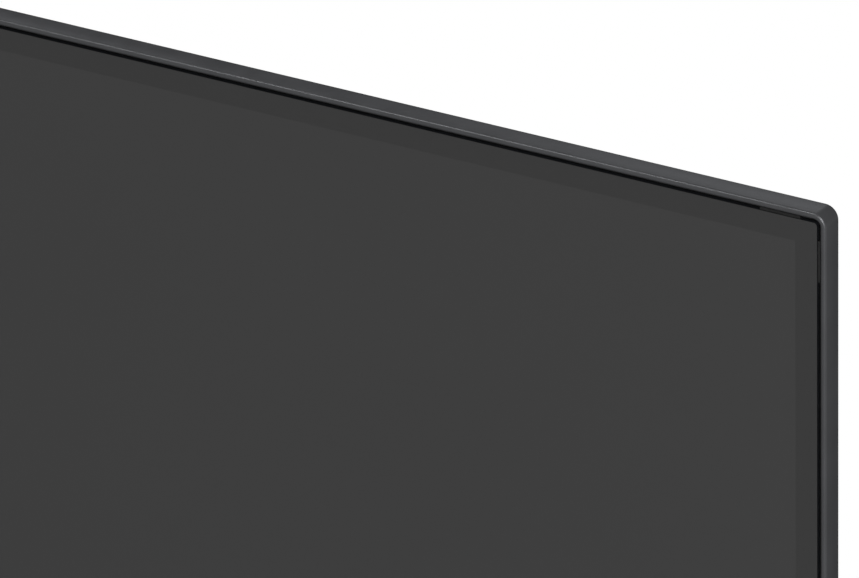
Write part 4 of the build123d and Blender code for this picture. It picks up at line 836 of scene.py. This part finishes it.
class TV_OT_electronics(bpy.types.Operator):
    """Finishes the boards, their parts and the wires"""

    bl_idname = "television.electronics"
    bl_label = "Electronics"

    def execute(self, context):
        dress(
            circuit_board("board_green", (0.010, 0.105, 0.045), (0.030, 0.190, 0.085)),
            "main_board", "power_board", "timing_board", "source_boards", "sensor_board", "control_board",
        )
        dress(self.film(), "driver_films")
        dress(moulded("ribbon_white", (0.75, 0.75, 0.73), 0.45), "panel_ribbons")
        dress(moulded("chip_epoxy", (0.012, 0.012, 0.012), 0.5), "board_chips")
        dress(moulded("winding_tape", (0.62, 0.42, 0.05), 0.4), "transformers")
        dress(moulded("can_sleeve", (0.012, 0.018, 0.070), 0.25), "capacitors")
        dress(moulded("nylon_white", (0.76, 0.74, 0.66), 0.4), "board_connectors")
        dress(moulded("wire_sleeve", (0.020, 0.020, 0.022), 0.4), "wire_harness")
        self.make_small_parts(context.scene.tv_details)
        return {"FINISHED"}

    def film(self):
        """Amber film, with a black coat on the part that shows beside the panel's edge."""
        made, tree, output = new_material("film_amber")
        shader = shader_of(tree, output)
        spot = place(tree)
        split = add(tree, "ShaderNodeSeparateXYZ")
        tree.links.new(spot, split.inputs["Vector"])
        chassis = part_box("rear_chassis")[0].y
        behind = maths(tree, "GREATER_THAN", split.outputs["Y"], chassis)
        wave = noise(tree, spot, 500)
        amber = blend_colours(tree, spread(tree, wave, 0, 1), (0.38, 0.15, 0.02), (0.46, 0.19, 0.03))
        shade = blend_colours(tree, behind, (0.006, 0.006, 0.006), amber)
        tree.links.new(shade, shader.inputs["Base Color"])
        tree.links.new(spread(tree, wave, 0.26, 0.36), shader.inputs["Roughness"])
        bump(tree, wave, 0.000005, shader)
        return made

    def make_small_parts(self, sizes):
        """Small surface-mounted parts in rows on the backs of the two large boards."""
        ceramic = moulded("small_part_ceramic", (0.24, 0.17, 0.10), 0.45, depth=0.000005)
        carried = (
            "board_chips", "heat_sinks", "transformers", "capacitors", "board_connectors", "tuner",
            "lan_socket", "optical_socket", "headphone_socket", "socket_shells", "mains_inlet",
            "board_screws", "wire_harness", "wall_mount_posts", "panel_ribbons",
        )
        taken = [box for name in carried for box in islands(name)]
        long, margin = sizes.chip_part, sizes.chip_part * 1.5
        mesh_data = bmesh.new()
        for name in ("main_board", "power_board"):
            low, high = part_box(name)
            columns = int((high.x - low.x) / (COLUMN_SPACING * long))
            rows = int((high.z - low.z) / (ROW_SPACING * long))
            for column in range(1, columns):
                for row in range(1, rows):
                    if leaves_gap(column, row):
                        continue
                    x = low.x + column * COLUMN_SPACING * long + (row % 3) * long
                    z = low.z + row * ROW_SPACING * long + (column % 2) * long
                    if any(
                        first.x - margin < x < last.x + margin and first.z - margin < z < last.z + margin
                        for first, last in taken
                    ):
                        continue
                    tall = long / 2.5
                    add_block(
                        mesh_data, (x - long / 2, high.y - sizes.proud, z - long / 4),
                        (x + long / 2, high.y + tall, z + long / 4), bevel=long / 16,
                    )
        finish_piece("small_parts", mesh_data, ceramic)


class TV_OT_speakers(bpy.types.Operator):
    """Finishes the speakers"""

    bl_idname = "television.speakers"
    bl_label = "Speakers"

    def execute(self, context):
        dress(moulded("box_plastic", (0.015, 0.015, 0.015), 0.55), "speaker_boxes")
        dress(sheet_metal("basket_steel", (0.45, 0.46, 0.47), 0.4), "speaker_baskets")
        dress(moulded("ferrite", (0.06, 0.06, 0.065), 0.5), "speaker_magnets")
        pulp = soft_rubber("cone_pulp", (0.035, 0.034, 0.033), 0.8)
        dress(pulp, "speaker_cone_left", "speaker_cone_right")
        rubber = soft_rubber("surround_rubber", (0.012, 0.012, 0.012), 0.6)
        boxes = islands("speaker_surrounds")
        if len(boxes) != 2:
            raise RuntimeError("the set needs two speaker surrounds")
        for side, box in zip(("left", "right"), boxes):
            self.make_surround(side, box, rubber, context.scene.tv_details.surround_wall)
        return {"FINISHED"}

    def make_surround(self, side, box, rubber, thick):
        """A speaker's half roll of thin rubber, which stretches between basket and cone."""
        low, high = box
        middle = (low + high) / 2
        outer = (high.x - low.x) / 2
        cone_low, cone_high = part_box("speaker_cone_" + side)
        inner = (cone_high.x - cone_low.x) / 2
        half, rise = (outer - inner) / 2, high.z - low.z - thick
        arch = []
        for step in range(ROLL_STEPS + 1):
            turn = pi * step / ROLL_STEPS
            arch.append((inner + half + half * cos(turn), low.z + rise * sin(turn)))
        outline = arch + [(radius, level + thick) for radius, level in reversed(arch)]
        mesh_data = bmesh.new()
        add_turned(mesh_data, (middle.x, middle.y, 0), (0, 0, 1), outline, steps=SURROUND_STEPS)
        piece = finish_piece("surround_" + side, mesh_data, rubber, body=None)
        self.bend(piece, middle, outer, inner, side + "_cone")
        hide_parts("speaker_surrounds")

    def bend(self, piece, middle, outer, inner, body):
        """Takes a roll, with the basket's radius at its outer edge and the cone's at its inner edge; outer
        and inner are not used.

        Each point is moved to its own radius on one line, the piece's transform is baked there, and each
        point is put back; no blend is set and nothing is bent.
        """
        places = [vertex.co.copy() for vertex in piece.data.vertices]
        for vertex in piece.data.vertices:
            vertex.co = (hypot(vertex.co.x - middle.x, vertex.co.y - middle.y), 0, 0)
        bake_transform(piece)
        for vertex, spot in zip(piece.data.vertices, places):
            vertex.co = spot


class TV_OT_stand(bpy.types.Operator):
    """Finishes the feet and their pads"""

    bl_idname = "television.stand"
    bl_label = "Stand"

    def execute(self, context):
        finishes = context.scene.tv_finishes
        foot = moulded("foot_plastic", finishes.foot, 0.42, grain=1600.0, depth=0.00003)
        dress(foot, "foot_left", "foot_right")
        dress(soft_rubber("pad_rubber", (0.014, 0.014, 0.014)), "foot_pads")
        return {"FINISHED"}


class TV_OT_controls(bpy.types.Operator):
    """Finishes the control stick and the sensor under the chin"""

    bl_idname = "television.controls"
    bl_label = "Controls"

    def execute(self, context):
        dress(moulded("knob_plastic", (0.016, 0.016, 0.017), 0.35, depth=0.00002), "control_knob")
        dress(moulded("plunger_plastic", (0.02, 0.02, 0.02), 0.4), "control_plunger")
        dress(sheet_metal("cross_steel", (0.58, 0.58, 0.58), 0.3), "control_cross")
        dress(moulded("sensor_plastic", (0.015, 0.015, 0.016), 0.3, depth=0.00001), "sensor_housing")
        dress(clear_plastic("sensor_window", (0.018, 0.003, 0.004), 0.08, 0.3), "sensor_window")
        self.make_grip(context.scene.tv_details)
        return {"FINISHED"}

    def make_grip(self, sizes):
        """Fine ridges round the end of the control stick's knob."""
        low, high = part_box("control_knob")
        middle = (low + high) / 2
        radius = (high.x - low.x) / 2
        grip = sizes.grip
        rubber = soft_rubber("grip_rubber", (0.02, 0.02, 0.02), 0.7)
        mesh_data = bmesh.new()
        for share in RIDGE_SHARES:
            near = radius * share
            far = near + grip
            low_edge, top = -grip / 4, grip / 3
            outline = [(near, low_edge), (near + grip / 4, top), (far - grip / 4, top), (far, low_edge)]
            add_turned(mesh_data, (middle.x, high.y, middle.z), (0, 1, 0), outline)
        finish_piece("knob_ridges", mesh_data, rubber, body="knob")


PIECES = (
    TV_OT_stage, TV_OT_rim, TV_OT_screen, TV_OT_housing, TV_OT_terminals, TV_OT_electronics,
    TV_OT_speakers, TV_OT_stand, TV_OT_controls,
)


class TV_PT_panel(bpy.types.Panel):
    """Lists the settings and the pieces"""

    bl_idname = "TV_PT_panel"
    bl_label = "Television"
    bl_space_type = "VIEW_3D"
    bl_region_type = "UI"
    bl_category = "Television"

    def draw(self, context):
        for key, _ in GROUPS:
            group = getattr(context.scene, key)
            box = self.layout.box()
            for name in group.__annotations__:
                box.prop(group, name)
        for piece in PIECES:
            self.layout.operator(piece.bl_idname)


GROUPS = (
    ("tv_sizes", RimSizes), ("tv_details", DetailSizes), ("tv_finishes", Finishes),
    ("tv_stage", StageSettings),
)


def register():
    """Registers the settings, the operators and the panel."""
    for name, group in GROUPS:
        bpy.utils.register_class(group)
        setattr(bpy.types.Scene, name, bpy.props.PointerProperty(type=group))
    for piece in (*PIECES, TV_PT_panel):
        bpy.utils.register_class(piece)


def unregister():
    """Removes what register added."""
    for piece in (TV_PT_panel, *reversed(PIECES)):
        bpy.utils.unregister_class(piece)
    for name, group in reversed(GROUPS):
        delattr(bpy.types.Scene, name)
        bpy.utils.unregister_class(group)


def main():
    """Builds every piece in order."""
    register()
    for piece in PIECES:
        group, name = piece.bl_idname.split(".")
        getattr(getattr(bpy.ops, group), name)()


if __name__ == "__main__":
    main()
